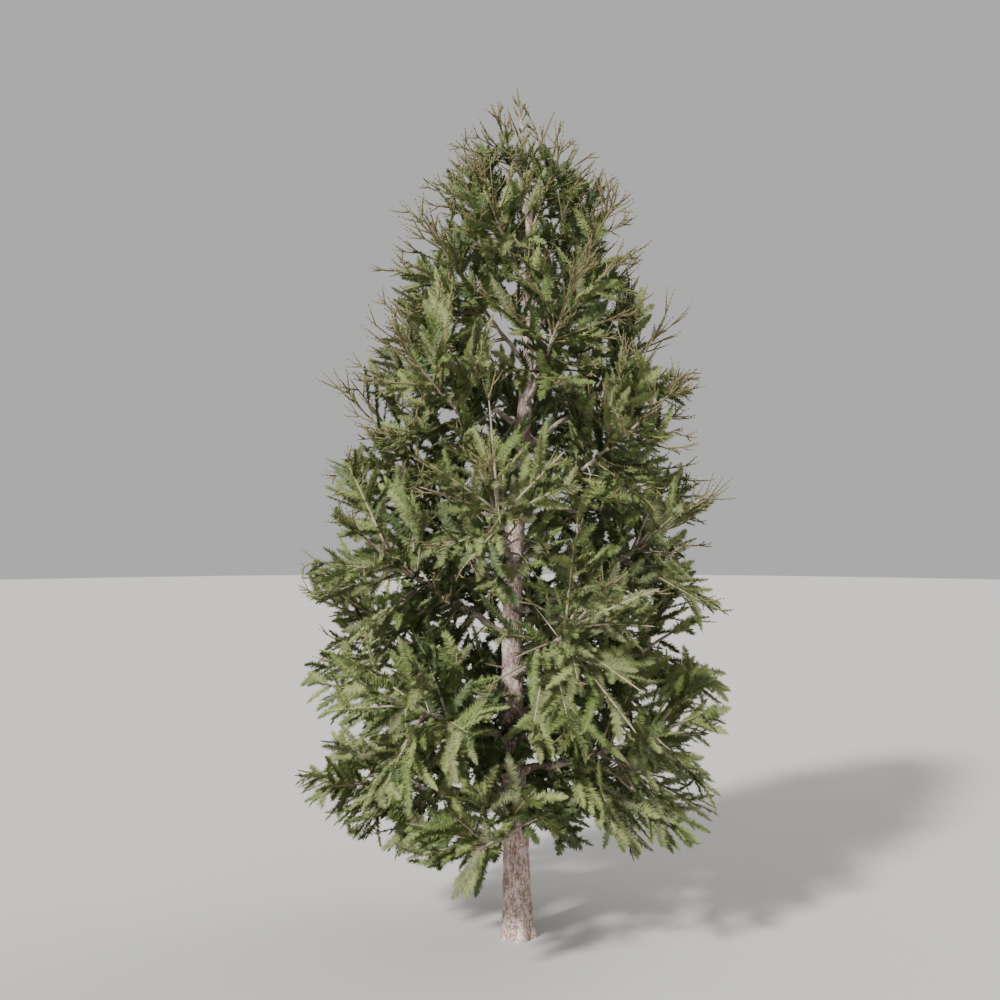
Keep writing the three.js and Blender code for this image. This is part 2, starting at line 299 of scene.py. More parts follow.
# Needles: fewer, wider and longer in the shade, and shorter high up. Angles are radians.
NEEDLE_PIECES = 8
FEWEST_NEEDLES = 8
NEEDLE_LEAD = 0.7
SHADE_COARSENESS = 1.8
SHADE_WIDTH = 2.1
SHADE_NEEDLE = 1.16
HIGH_NEEDLE = 0.74
NEEDLE_ROOT_ANGLE = 1.28
NEEDLE_TIP_ANGLE = 0.1
NEEDLE_CLOSING = 7
NEEDLE_ANGLE_PLAY = 0.07
NEEDLE_SPLAY = 0.24
NEEDLE_SWIVEL = 0.35

# The outline that the needles give a sprig, as shares of their length
FOOT_FULLNESS = 0.6
FOOT_FILLING = 3
MIDDLE_FULLNESS = 1.04
TIP_FULLNESS = 0.7
TIP_ROUNDING = 4
NEEDLE_SIZES = (0.88, 1.05)
LOBE_LENGTH = 0.085
LOBE_SIZE = 0.2

# How far out in the crown a sprig stands in the shade, and over what depth it comes into the sun. This also
# deals out the needle tints, with the darkest as painted shade inside.
SPRIG_HEART = 0.6
SHADE_SHARE = 0.35
SUN_DEPTH = 0.4
LEAST_CROWN = 0.3

# Young bark: from what fullness of its branch's fan a twig has it, and on what radii the limbs turn to it
YOUNG_FROM = 0.6
YOUNG_RADIUS = 0.013
OLD_RADIUS = 0.02

# Colour sockets of a mix node, by number, because its other kinds of sockets have the same names
MIX_SHARE = 0
MIX_A = 6
MIX_B = 7
MIXED = 2

# Relief of the bark: upright fissures, and pits where flakes came off
FISSURE_HEIGHT = 3.2
FISSURE_NARROWNESS = 4
FISSURE_LEAST = 0.25
FISSURE_IN_PITS = 0.6
PIT_FINENESS = 1.7
PIT_PLACE = Vector((7.3, 1.1, 4.7))
PIT_SMOOTHNESS = 0.8
PIT_REFINING = 2
PIT_OCTAVES = 3
PIT_STRENGTH = 1.8
PIT_DEPTH = 0.5

# The trunk's skin: its mesh, how its relief and plates shrink towards the top, and its lumps
TRUNK_SIDES = 104
TRUNK_RINGS = 380
RING_CROWDING = 1.35
TOP_RELIEF = 0.3
RELIEF_FADE = 0.7
TOP_PLATE = 0.45
BROAD_LUMP = 0.24
BROAD_LUMP_HEIGHT = 1.5
SMALL_LUMP = 0.1
SMALL_LUMP_HEIGHT = 0.7
FURROW_DEPTH = 1.2

# The limbs' skin: its mesh, the collar at its root, its kinks, and its relief as a share of the radius
LIMB_SIDES = 12
LIMB_RINGS = 64
LIMB_ROOT = 0.5
COLLAR = 0.35
COLLAR_LENGTH = 0.16
KINK = 0.7
KINK_LENGTH = 0.22
LIMB_PLATE = 0.03
LIMB_LUMP = 0.05
LIMB_RELIEF = 0.16


def linear(hex_colour):
    """An sRGB hex colour as linear red, green and blue."""
    values = [int(hex_colour[i:i + 2], 16) / 255 for i in (1, 3, 5)]
    return [v / 12.92 if v <= 0.04045 else ((v + 0.055) / 1.055) ** 2.4 for v in values]


def colour_property(name, hex_colour, description):
    return bpy.props.FloatVectorProperty(
        name=name, description=description, default=linear(hex_colour), subtype="COLOR", min=0, max=1,
    )


def length_property(name, millimetres, description):
    return bpy.props.FloatProperty(
        name=name, description=description, default=millimetres * MM, min=0, unit="LENGTH",
    )


class LarchSizes(bpy.types.PropertyGroup):
    """Sizes of the fine parts that the solids don't hold."""

    needle_length: length_property("Needle length", 77, "Length of a needle in the middle of a sprig")
    needle_width: length_property("Needle width", 14, "Width of a needle at its root")
    needle_step: length_property("Needle step", 8.6, "Distance between the needles of one rank")
    needle_ranks: bpy.props.IntProperty(
        name="Needle ranks", description="Rows of needles along a sprig", default=4, min=2, max=8,
    )
    sprig_radius: length_property("Sprig radius", 4, "Radius of a sprig's twig at its root")
    shoot_radius: length_property("Shoot radius", 20, "Radius of a leafy shoot at its root")
    bare_radius: length_property("Bare shoot radius", 9.5, "Radius of a bare shoot at its root")
    spur_length: length_property("Spur length", 24, "How far a spur stands off a bare shoot")
    spur_step: length_property("Spur step", 42, "Distance between the spurs of a bare shoot")
    plate_width: length_property("Bark plate", 46, "Width of a plate of bark on the trunk")
    bark_depth: length_property("Bark depth", 9, "Depth of the furrows at the foot of the trunk")


class LarchColours(bpy.types.PropertyGroup):
    """Colours of the bark, the twigs and the needles."""

    bark_plate: colour_property("Bark plate", "#DABBB2", "Weathered face of a bark plate")
    bark_pale: colour_property("Pale bark", "#F4DDD5", "Freshly shed, pinkish bark")
    bark_furrow: colour_property("Furrow", "#574442", "Depth of a furrow between plates")
    bough_bark: colour_property("Bough bark", "#C9B5A4", "Grey-brown bark of the boughs")
    bough_pale: colour_property("Pale bough bark", "#EADBCB", "Rubbed, lighter bark of the boughs")
    straw_twig: colour_property("Straw twig", "#7D7552", "Bare shoots of last year")
    brown_twig: colour_property("Brown twig", "#B09F8C", "Older leafy twigs")
    dead_twig: colour_property("Dead twig", "#C2B5A4", "Dead twigs on the inner boughs")
    fresh: colour_property("Fresh needles", "#88935A", "Needles of the newest sprigs")
    olive: colour_property("Olive needles", "#7A8154", "Needles in full sun")
    green: colour_property("Green needles", "#6C7C45", "Needles of the outer crown")
    # The darkest needle tint, dealt mostly to sprigs in the shaded inner crown: painted shade
    painted_shade: colour_property("Deep needles", "#5B6A42", "Needles of the inner crown")
    dull: colour_property("Dull needles", "#717553", "Needles about to turn")
    floor: colour_property("Floor", "#C8C6C2", "Plain pale floor")


def lerp(start, end, share):
    return start + (end - start) * share


def unit(vectors):
    return vectors / np.linalg.norm(vectors, axis=-1, keepdims=True)


def turned(vector, axis, angle):
    """A vector turned round a unit axis."""
    along = axis * np.dot(axis, vector) * (1 - math.cos(angle))
    return vector * math.cos(angle) + np.cross(axis, vector) * math.sin(angle) + along


def leaning(along, aside, angle):
    """A way that leans from one way to another, square to it, by an angle."""
    return along * math.cos(angle) + aside * math.sin(angle)


def round_stem(along, roll):
    """A way square to a stem, rolled round it from level."""
    level = unit(np.cross(UP, along))
    return leaning(level, np.cross(along, level), roll)


def square_to(way, direction):
    """The part of a way that is square to a direction, at unit length."""
    return unit(way - direction * np.dot(way, direction))


def draw(branch, shoot, trait):
    """The source's seeded share from 0 to 1, on 32-bit whole numbers."""
    mask = 0xFFFFFFFF
    t = (SEED * 65537 + branch * 1009 + shoot * 31 + trait + 0x6D2B79F5) & mask
    t = ((t ^ (t >> 15)) * (t | 1)) & mask
    t ^= (t + (t ^ (t >> 7)) * (t | 61)) & mask
    return (t ^ (t >> 14)) / 2 ** 32


def play(branch, shoot, trait):
    return 2 * draw(branch, shoot, trait) - 1


def trunk_axis(share):
    share = np.asarray(share, float)
    x = -SWAY * share * np.sin(2 * math.pi * share)
    y = SWAY_BACK * share * np.sin(3 * math.pi * share)
    return np.stack((x, y, HEIGHT * share), axis=-1)


def trunk_radius(share):
    taper = TRUNK_RADIUS * (1 - share) ** TRUNK_TAPER + TRUNK_TIP_RADIUS * share
    return taper + FLARE * np.exp(-share * HEIGHT / FLARE_HEIGHT)


def crown_radius(height):
    """Half the width of the crown at heights above ground."""
    drop = np.clip((CROWN_WAIST - height) / (CROWN_WAIST - CROWN_FOOT), 0, 1)
    climb = np.clip((height - CROWN_WAIST) / (HEIGHT - CROWN_WAIST), 0, 1)
    return CROWN_RADIUS * np.sqrt(1 - drop ** 2) * (1 - climb ** CROWN_FULLNESS) ** CROWN_POINT


def height_share(points):
    """How far up the trunk points are, from 0 at the ground to 1 at its tip."""
    return np.clip(points[..., 2] / HEIGHT, 0, 1)


def off_trunk(points):
    """How far points stand off the trunk's middle line, level with them."""
    middle = trunk_axis(height_share(points))
    return np.linalg.norm(points[..., :2] - middle[..., :2], axis=-1)


def outward_at(points):
    """The level way out from the trunk at points."""
    return unit((points - trunk_axis(height_share(points))) * LEVEL)


@dataclass
class Branch:
    """One branch: a curve that bows a little downward, from the middle of the trunk to the crown's edge."""

    index: int
    rise: float
    length: float
    foot: np.ndarray
    belly: np.ndarray
    tip: np.ndarray
    foot_radius: float

    @property
    def has_bough(self):
        return self.index < BOUGHS

    @property
    def is_bare_tipped(self):
        return self.rise > BARE_FROM

    @property
    def fan(self):
        """How full the fan of bare shoots at the tip is, from none low in the crown to 1 at the top."""
        return max(0, (self.rise - FANS_FROM) / (1 - FANS_FROM)) ** FAN_GROWTH

    def point(self, share):
        share = np.asarray(share, float)[..., None]
        bow = 2 * share * (1 - share) * self.belly
        return (1 - share) ** 2 * self.foot + bow + share ** 2 * self.tip

    def tangent(self, share):
        share = np.asarray(share, float)[..., None]
        return unit((1 - share) * (self.belly - self.foot) + share * (self.tip - self.belly))

    def radius(self, share):
        return self.foot_radius * (1 - share) ** LIMB_TAPER + LIMB_TIP_RADIUS


@dataclass
class Shoot:
    """A leafy side shoot: its foot, the way it grows, the way its flat side faces, and its length."""

    branch: Branch
    foot: np.ndarray
    direction: np.ndarray
    face: np.ndarray
    length: float
    is_leader: bool = False

    @property
    def hang(self):
        """How a shoot bends along its length: down low in the crown, and up high in it."""
        return lerp(LOW_HANG, HIGH_HANG, self.branch.rise) * UP

    def point(self, share):
        share = np.asarray(share, float)[..., None]
        return self.foot + self.length * (self.direction * share + self.hang * share ** 2)

    def tangent(self, share):
        return unit(self.direction + 2 * self.hang * share)


@dataclass
class Twig:
    """A fine twig: it leaves its foot in one direction and bends away from it towards its tip."""

    branch: Branch
    foot: np.ndarray
    direction: np.ndarray
    face: np.ndarray
    length: float
    bend: np.ndarray

    def point(self, share):
        return self.foot + self.length * (self.direction * share + self.bend * share ** 2)


def length_to_crown(foot, outward):
    """The length at which a straight line from a foot on the trunk leaves the crown."""
    inside, outside = 0.0, 2 * CROWN_RADIUS
    flat = math.hypot(outward[0], outward[1])
    while outside - inside > MM:
        length = (inside + outside) / 2
        if flat * length < crown_radius(foot[2] + outward[2] * length):
            inside = length
        else:
            outside = length
    return inside


def grow_branch(index):
    rise = (index + 0.5) / BRANCHES
    foot_share = lerp(FIRST_FOOT, LAST_FOOT, rise ** FOOT_CROWDING) / HEIGHT
    turn = FIRST_TURN + index * GOLDEN_TURN + TURN_PLAY * play(index, 0, TURN_DRAW)
    pitch = lerp(LOW_PITCH, HIGH_PITCH, rise ** PITCH_BEND) + PITCH_PLAY * play(index, 0, PITCH_DRAW)
    flat = math.cos(pitch)
    outward = np.array((math.cos(turn) * flat, math.sin(turn) * flat, math.sin(pitch)))
    foot = trunk_axis(foot_share)
    length = length_to_crown(foot, outward) * lerp(SHORTEST_REACH, 1, draw(index, 0, REACH_DRAW))
    tip = foot + outward * length
    belly = (foot + tip) / 2 - SAG * length * UP
    return Branch(index, rise, length, foot, belly, tip, LIMB_TO_TRUNK * trunk_radius(foot_share))


@cache
def grow_branches():
    return [grow_branch(index) for index in range(BRANCHES)]


@cache
def branch_lines():
    """Every branch as a row of straight stretches: their starts and their steps."""
    shares = np.linspace(0, 1, BRANCH_STRETCHES + 1)
    points = np.stack([branch.point(shares) for branch in grow_branches()])
    return points[:, :-1], np.diff(points, axis=1)


def off_stretches(points, starts, steps):
    """The way to points from the nearest place on each straight stretch."""
    away = points - starts
    share = np.clip((away * steps).sum(-1) / (steps ** 2).sum(-1), 0, 1)
    return away - share[..., None] * steps


def is_own_space(branch, points):
    """Which points lie inside the crown, nearer to their own branch than to others, and off every limb."""
    off = off_trunk(points)
    in_crown = off <= crown_radius(points[:, 2]) + CROWN_SLACK
    clear = off - trunk_radius(height_share(points)) >= LIMB_MARGIN
    distances = np.linalg.norm(off_stretches(points[:, None, None], *branch_lines()), axis=-1).min(-1)
    own = distances[:, branch.index].copy()
    distances[:, branch.index] = np.inf
    nearest = distances.min(1) > own + 2 * NEIGHBOUR_MARGIN
    if branch.has_bough:
        shares = LIMB_SHARE * np.linspace(0, 1, LIMB_SAMPLES)
        gaps = np.linalg.norm(points[:, None, :] - branch.point(shares), axis=-1) - branch.radius(shares)
        clear &= gaps.min(1) > LIMB_MARGIN
    return in_crown & clear & nearest


def spray_half(out):
    """Half the width of a spray at a share of its length, as a share of that length."""
    on_blade = np.clip((out - SPRAY_NECK) / (1 - SPRAY_NECK), 0, 1)
    return SPRAY_HALF * np.sin(math.pi * on_blade ** SPRAY_SHOULDER)


@cache
def spray_plan():
    """Points over a spray, out to its teeth: how far out and how far aside, as shares of its length."""
    points = []
    for station in range(1, SPRAY_STATIONS + 1):
        out = lerp(SPRAY_NECK, 1, (station - 1) / (SPRAY_STATIONS - 1))
        is_tooth = station % 2 == 0 and station < SPRAY_STATIONS
        half = spray_half(out) * (1 if is_tooth else SPRAY_NOTCH)
        lean = SPRAY_LEAN if is_tooth else 0
        points += [(out + abs(side) * lean, side * half) for side in SPRAY_ACROSS]
    return np.array(points)


def fitted(shoot):
    """The largest size of a shoot whose spray keeps to the space of its mass, or nothing."""
    plan = spray_plan() @ np.stack((shoot.direction, np.cross(shoot.direction, shoot.face)))
    for size in SHOOT_SIZES:
        length = size * shoot.length
        if is_own_space(shoot.branch, shoot.foot + length * plan).all():
            return replace(shoot, length=length)
    return None


def grow_shoot(branch, shoot, place, inner):
    """A side shoot, wound round its branch so that its spray doesn't cross its neighbours'."""
    share = lerp(inner, STEM_SHARE - SHOOT_INSET, place)
    along = branch.tangent(share)
    roll = shoot * SHOOT_TURN + branch.index + SHOOT_ROLL * play(branch.index, shoot, ROLL_DRAW)
    angle = lerp(ROOT_ANGLE, TIP_ANGLE, place)
    hang = lerp(LOW_DROOP, HIGH_LIFT, branch.rise) * UP
    direction = unit(leaning(along, round_stem(along, roll), angle) + hang)
    face_roll = FACE_ROLL * play(branch.index, shoot, FACE_DRAW)
    face = turned(square_to(along, direction), direction, face_roll)
    spread = lerp(LOW_SPREAD, HIGH_SPREAD, branch.rise) * (1 - SHOOT_SHRINK * place)
    return Shoot(branch, branch.point(share), direction, face, spread * branch.length)


def grow_leader(branch):
    """The shoot that carries a branch on to its tip."""
    foot = branch.point(STEM_SHARE - LEADER_INSET)
    direction = unit(branch.tip - foot)
    level = unit(np.cross(UP, direction))
    face_roll = FACE_ROLL * play(branch.index, 0, LEADER_DRAW)
    face = turned(np.cross(direction, level), direction, face_roll)
    return Shoot(branch, foot, direction, face, np.linalg.norm(branch.tip - foot), is_leader=True)


@cache
def grow_shoots():
    """The shoots of the solids, and more between them that stay in the same space."""
    shoots = []
    for branch in grow_branches():
        inner = LIMB_SHARE + SHOOT_INSET if branch.has_bough else INNER_SHOOT
        grown = [] if branch.is_bare_tipped else [grow_leader(branch)]
        for shoot in range(SHOOTS):
            place = (shoot + 0.5 + SHOOT_PLAY * play(branch.index, shoot, PLACE_DRAW)) / SHOOTS
            grown.append(grow_shoot(branch, shoot, place, inner))
        for extra in range(EXTRA_SHOOTS):
            shoot = SHOOTS + extra
            place = (extra + 0.5 + EXTRA_PLAY * play(branch.index, shoot, PLACE_DRAW)) / EXTRA_SHOOTS
            grown.append(grow_shoot(branch, shoot, place, EXTRA_INNER_SHARE))
        shoots += filter(None, map(fitted, grown))
    shoots += trunk_shoots()
    return cut_back(shoots, shoot_slack)


def trunk_shoots():
    """Short leafy shoots straight from the lower trunk, between its boughs."""
    chance = np.random.default_rng(TRUNK_SEED)
    for shoot, height in enumerate(np.linspace(TRUNK_SHOOTS_FROM, TRUNK_SHOOTS_TO, TRUNK_SHOOTS)):
        turn = FIRST_TURN + (shoot + TRUNK_SHOOT_TURN) * GOLDEN_TURN
        outward = np.array((math.cos(turn), math.sin(turn), 0))
        if height > TRUNK_SHOWS_FROM and outward[1] < TRUNK_SHOWS_SIDE:
            continue
        foot = trunk_axis(height / HEIGHT)
        direction = unit(outward + chance.uniform(*TRUNK_SHOOT_CLIMBS) * UP)
        nearest = min(grow_branches(), key=lambda branch: abs(branch.foot[2] - height))
        length = chance.uniform(*TRUNK_SHOOT_LENGTHS)
        yield Shoot(nearest, foot, direction, square_to(UP, direction), length)


def shoot_sprigs(shoot, chance):
    """The leafy sprigs of a shoot: two rows in its spray's outline, some out of its plane, and its tip."""
    rise = shoot.branch.rise
    across = np.cross(shoot.direction, shoot.face)
    small = lerp(1, HIGH_SPRIG, rise)
    count = max(FEWEST_SPRIGS, round(2 * shoot.length / (small * SPRIG_STEP)))
    for sprig in range(count):
        out = lerp(FIRST_SPRIG, LAST_SPRIG, (sprig + chance.uniform(*SPRIG_PLACES)) / count)
        tilt = SPRIG_TILT * chance.uniform(-1, 1)
        size = small
        if sprig % STANDING_STEP == STANDING_STEP - 1:
            tilt = chance.choice((-1, 1)) * chance.uniform(*STANDING_TILTS)
            size *= STANDING_SIZE
        aside = leaning(across if sprig % 2 else -across, shoot.face, tilt)
        angle = lerp(SPRIG_ROOT_ANGLE, SPRIG_TIP_ANGLE, out) + SPRIG_ANGLE_PLAY * chance.uniform(-1, 1)
        sweep = SPRIG_SWEEP * shoot.branch.tangent(1) + lerp(-SWEEP_LIFT, SWEEP_LIFT, rise) * UP
        sweep = sweep * chance.uniform(*SWEEP_SHARES)
        direction = unit(leaning(shoot.tangent(out), aside, angle) + sweep)
        half = spray_half(out) * shoot.length / math.sin(angle)
        length = np.clip(size * half * chance.uniform(*SPRIG_STRETCHES), SPRIG_SHORTEST, SPRIG_LONGEST)
        bend = lerp(LOW_SPRIG_BEND, HIGH_SPRIG_BEND, rise) * UP + SPRIG_BEND_PLAY * chance.normal(size=3)
        foot = shoot.point(out)
        yield Twig(shoot.branch, foot, direction, leaf_face(foot, direction, chance), length, bend)
    foot, direction = shoot.point(TIP_SPRIG_FROM), shoot.tangent(TIP_SPRIG_FROM)
    length = (1 - TIP_SPRIG_FROM) * shoot.length
    bend = (shoot.point(1) - foot) / length - direction
    yield Twig(shoot.branch, foot, direction, leaf_face(foot, direction, chance), length, bend)


def leaf_face(foot, direction, chance):
    """The way the flat side of a sprig faces: up, outward, and a little at random."""
    face = FACE_UP * UP + FACE_OUT * outward_at(foot) + FACE_PLAY * chance.normal(size=3)
    return square_to(face, direction)


def limb_sprigs(branch, chance):
    """Short sprigs straight on a branch, at its sides and under it."""
    count = round(branch.length * (LAST_LIMB_SPRIG - FIRST_LIMB_SPRIG) / LIMB_SPRIG_STEP)
    for share in lerp(FIRST_LIMB_SPRIG, LAST_LIMB_SPRIG, (np.arange(count) + 0.5) / count):
        along = branch.tangent(share)
        aside = round_stem(along, chance.uniform(*LIMB_SPRIG_ROLLS) * math.pi)
        direction = leaning(along, aside, chance.uniform(*LIMB_SPRIG_ANGLES))
        lift = lerp(LOW_LIMB_SPRIG_BEND, HIGH_LIMB_SPRIG_BEND, branch.rise) * UP
        bend = lift + LIMB_SPRIG_BEND_PLAY * chance.normal(size=3)
        foot = branch.point(share)
        face = leaf_face(foot, direction, chance)
        yield Twig(branch, foot, direction, face, chance.uniform(*LIMB_SPRIG_LENGTHS), bend)


def bole_sprigs(chance):
    """The few sprigs that hang from the lowest bough beside the foot of the trunk."""
    lowest = grow_branches()[0]
    for share in BOLE_SPRIG_PLACES:
        direction = unit(BOLE_SPRIG_WAY + BOLE_SPRIG_PLAY * chance.normal(size=3))
        face = square_to(lowest.tangent(share) + BOLE_SPRIG_TURN, direction)
        length = chance.uniform(*BOLE_SPRIG_LENGTHS)
        yield Twig(lowest, lowest.point(share), direction, face, length, BOLE_SPRIG_CURL * UP)


def in_reach(grown, slack_of):
    """A shoot or twig cut back until its tip keeps to the crown, but for some slack, or nothing."""
    for size in CUT_SIZES:
        sized = replace(grown, length=size * grown.length)
        tip = sized.point(1)
        reach = min(WIDEST_REACH, crown_radius(tip[2]) + slack_of(grown.branch, tip))
        if tip[2] > skirt_height(tip) and math.hypot(tip[0], tip[1]) < reach:
            return sized
    return None


def cut_back(grown, slack_of):
    """Those shoots or twigs that can be kept in reach, each cut back as far as it needs."""
    return list(filter(None, (in_reach(one, slack_of) for one in grown)))


def skirt_height(point):
    """How low leaves hang: the skirt is lifted in front, most where the foot of the trunk shows."""
    if point[1] > 0:
        return LOWEST_LEAF
    gap = BOLE_GAP * math.exp(-((point[0] - BOLE_GAP_PLACE) / BOLE_GAP_WIDTH) ** 2)
    return LOWEST_LEAF - SKIRT_LIFT * point[1] + gap


def tier_notch(tip):
    """How far the crown's edge is drawn in between its tiers, from 0 on a tier to 1 halfway to the next."""
    tilt = TIER_TILT * math.cos(math.atan2(tip[1], tip[0]))
    return 0.5 - 0.5 * math.cos(2 * math.pi * (tip[2] - FIRST_TIER) / TIER_STEP + tilt)


def sprig_slack(branch, tip):
    """How far a sprig reaches past the crown's outline: furthest in the tuft round its branch's own tip,
    and less high up, where the edge is left to the bare shoots.
    """
    reach = lerp(SPRIG_LEAST_REACH, SPRIG_MOST_REACH, draw(branch.index, 0, EDGE_DRAW))
    reach -= TIER_DEPTH * tier_notch(tip)
    nearness = max(0, 1 - np.linalg.norm(tip - branch.tip) / TUFT_RADIUS)
    return lerp(reach, TUFT_REACH, nearness * (1 - branch.fan)) - BARE_TIP_ROOM * branch.fan


def shoot_slack(branch, tip):
    """How far a leafy shoot reaches past the crown's outline: further where it carries bare shoots."""
    return sprig_slack(branch, tip) + SHOOT_ROOM * branch.fan * min(1, HEIGHT - LEADER_LENGTH - tip[2])


def bare_slack(branch, tip):
    """How far a bare shoot reaches past the crown's outline: less and less along the tree's leader."""
    return lerp(TOP_BARE_SLACK, BARE_SLACK, min(1, (HEIGHT - LEADER_LENGTH - tip[2]) / TOP_TAPER))


@cache
def grow_sprigs():
    chance = np.random.default_rng(SPRIG_SEED)
    grown = [sprig for shoot in grow_shoots() for sprig in shoot_sprigs(shoot, chance)]
    grown += [sprig for branch in grow_branches() for sprig in limb_sprigs(branch, chance)]
    kept = cut_back(grown, sprig_slack)
    middles = np.stack([sprig.point(0.5) for sprig in kept])
    hides = hides_limb(middles) | in_window(middles)
    return [sprig for sprig, hidden in zip(kept, hides) if not hidden] + list(bole_sprigs(chance))


def hides_limb(points):
    """Which points lie close over the outer side of a limb, where it stays bare and shows."""
    starts, steps = (lines[:, LIMB_SHOWS_FROM:LIMB_SHOWS_TO].reshape(-1, 3) for lines in branch_lines())
    away = off_stretches(points[:, None], starts, steps)
    distance = np.linalg.norm(away, axis=-1)
    nearest = np.arange(len(points)), distance.argmin(1)
    over = (away[nearest] * (outward_at(points) + OVER_LIFT * UP)).sum(-1)
    return (distance[nearest] < LIMB_CLEARANCE) & (over > OVER_SHARE * distance[nearest])


def in_window(points):
    """Which points lie in the windows, where the trunk shows from the front and the light falls on it."""
    turn, climb = math.radians(KEY_AZIMUTH), math.radians(KEY_ELEVATION)
    flat = math.cos(climb)
    to_light = np.array((math.sin(turn) * flat, -math.cos(turn) * flat, math.sin(climb)))
    inside = np.zeros(len(points), bool)
    for height in WINDOW_HEIGHTS:
        away = points - trunk_axis(height / HEIGHT)
        for way in (FRONT, to_light):
            along = away @ way
            aside = np.linalg.norm(away - along[:, None] * way, axis=-1)
            inside |= (along > 0) & (aside < WINDOW_RADIUS)
    return inside


def bare_fan(branch, stem, stretch, along, count, lengths, chance):
    """Bare shoots that leave a stretch of a stem to both sides, in a fan round its own direction."""
    level = unit(np.cross(BACK, along))
    upward = np.cross(along, level)
    plane = chance.uniform(0, math.pi)
    for shoot in range(count):
        roll = plane + shoot * math.pi + FAN_ROLL_PLAY * chance.normal()
        angle = chance.uniform(*FAN_ANGLES)
        direction = leaning(along, leaning(level, upward, roll), angle)
        bend = FAN_LIFT * UP + FAN_BEND_PLAY * chance.normal(size=3)
        foot = stem(lerp(*stretch, chance.uniform(0, 1)))
        yield Twig(branch, foot, direction, upward, chance.uniform(*lengths), bend)


def forked(twig, chance):
    """A bare shoot and the one or two side shoots that fork off it."""
    yield twig
    face = turned(twig.face, twig.direction, chance.uniform(0, math.pi))
    for side in (-1, 1)[:chance.integers(1, 3)]:
        direction = turned(twig.direction, face, side * chance.uniform(*FORK_ANGLES))
        length = chance.uniform(*FORK_LENGTHS) * twig.length
        foot = twig.point(chance.uniform(*FORK_PLACES))
        yield replace(twig, foot=foot, direction=direction, length=length)


@cache
def grow_bare_shoots():
    """Fans of bare shoots at the ends of the upper branches, of their side shoots and of the trunk."""
    chance = np.random.default_rng(BARE_SEED)
    grown = []
    for branch in grow_branches():
        count = round(FAN_SHOOTS * branch.fan * min(1, branch.length / FULL_FAN_BRANCH) ** FAN_THINNING)
        lengths = min(1, FAN_LEAST_SIZE + FAN_SIZE_GAIN * branch.length) * FAN_LENGTHS
        along = branch.tangent(FAN_AXIS)
        grown += bare_fan(branch, branch.point, FAN_STRETCH, along, count, lengths, chance)
    for shoot in grow_shoots():
        count = round(SIDE_FAN_SHOOTS * shoot.branch.fan * min(1, shoot.length))
        stem, along = shoot.point, shoot.tangent(1)
        grown += bare_fan(shoot.branch, stem, SIDE_FAN_STRETCH, along, count, SIDE_FAN_LENGTHS, chance)
    top = grow_branches()[-1]
    grown += bare_fan(top, trunk_axis, TOP_FAN_STRETCH, UP, TOP_FAN_SHOOTS, TOP_FAN_LENGTHS, chance)
    return cut_back([part for twig in grown for part in forked(twig, chance)], bare_slack)


@cache
def grow_dead_twigs():
    """Crooked dead twigs on the shaded inner stretch of every bough but the lowest."""
    chance = np.random.default_rng(DEAD_SEED)
    grown = []
    for branch in grow_branches()[1:BOUGHS]:
        for share in chance.uniform(*DEAD_TWIG_PLACES, DEAD_TWIGS):
            along = branch.tangent(share)
            aside = round_stem(along, chance.uniform(0, 2 * math.pi))
            direction = unit(aside + chance.uniform(*DEAD_TWIG_LEANS) * along)
            bend = DEAD_TWIG_BEND * chance.normal(size=3)
            length = chance.uniform(*DEAD_TWIG_LENGTHS)
            grown.append(Twig(branch, branch.point(share), direction, along, length, bend))
    return grown


def stacked(twigs, name):
    """One value of every twig, as an array."""
    return np.stack([getattr(twig, name) for twig in twigs])


def twig_paths(twigs, points):
    """The middle lines of twigs, as an array of twigs, points and coordinates."""
    share = np.linspace(0, 1, points)[None, :, None]
    foot, direction, bend = (stacked(twigs, name)[:, None] for name in ("foot", "direction", "bend"))
    length = stacked(twigs, "length")[:, None, None]
    return foot + length * (direction * share + bend * share ** 2)


def tubes(paths, radii, sides):
    """Closed tubes along paths, each drawn to a point at its end: corners and triangles."""
    count, points = paths.shape[:2]
    along = unit(np.gradient(paths, axis=1))
    is_steep = np.abs(along[:, :1, 2:]) > STEEP
    level = np.where(is_steep, RIGHT, UP)
    across = unit(np.cross(level, along))
    upward = np.cross(along, across)
    angles = np.arange(sides) * 2 * math.pi / sides
    ring = across[:, :, None] * np.cos(angles)[:, None] + upward[:, :, None] * np.sin(angles)[:, None]
    rings = paths[:, :-1, None] + radii[:, :, None, None] * ring[:, :-1]
    corners = np.concatenate((rings.reshape(count, -1, 3), paths[:, -1:]), axis=1)
    tip = (points - 1) * sides
    faces = [(0, k + 1, k) for k in range(1, sides - 1)]
    for k in range(sides):
        turn = (k + 1) % sides
        for base in range(0, tip - sides, sides):
            ahead = base + sides
            faces += [(base + k, base + turn, ahead + turn), (base + k, ahead + turn, ahead + k)]
        faces.append((tip - sides + k, tip - sides + turn, tip))
    offsets = np.arange(count)[:, None, None] * (tip + 1)
    return corners.reshape(-1, 3), (np.array(faces)[None] + offsets).reshape(-1, 3)


def joined(first, second):
    """Two sets of corners and triangles as one."""
    corners, faces = zip(first, second)
    return np.concatenate(corners), np.concatenate((faces[0], faces[1] + len(corners[0])))


def sunniness(sprig):
    """How far out in the crown a sprig stands, from 0 in the shade inside to 1 on its outside."""
    middle = sprig.point(SPRIG_HEART)
    out = off_trunk(middle) / max(LEAST_CROWN, crown_radius(middle[2]))
    return np.clip((out - SHADE_SHARE) / SUN_DEPTH, 0, 1)


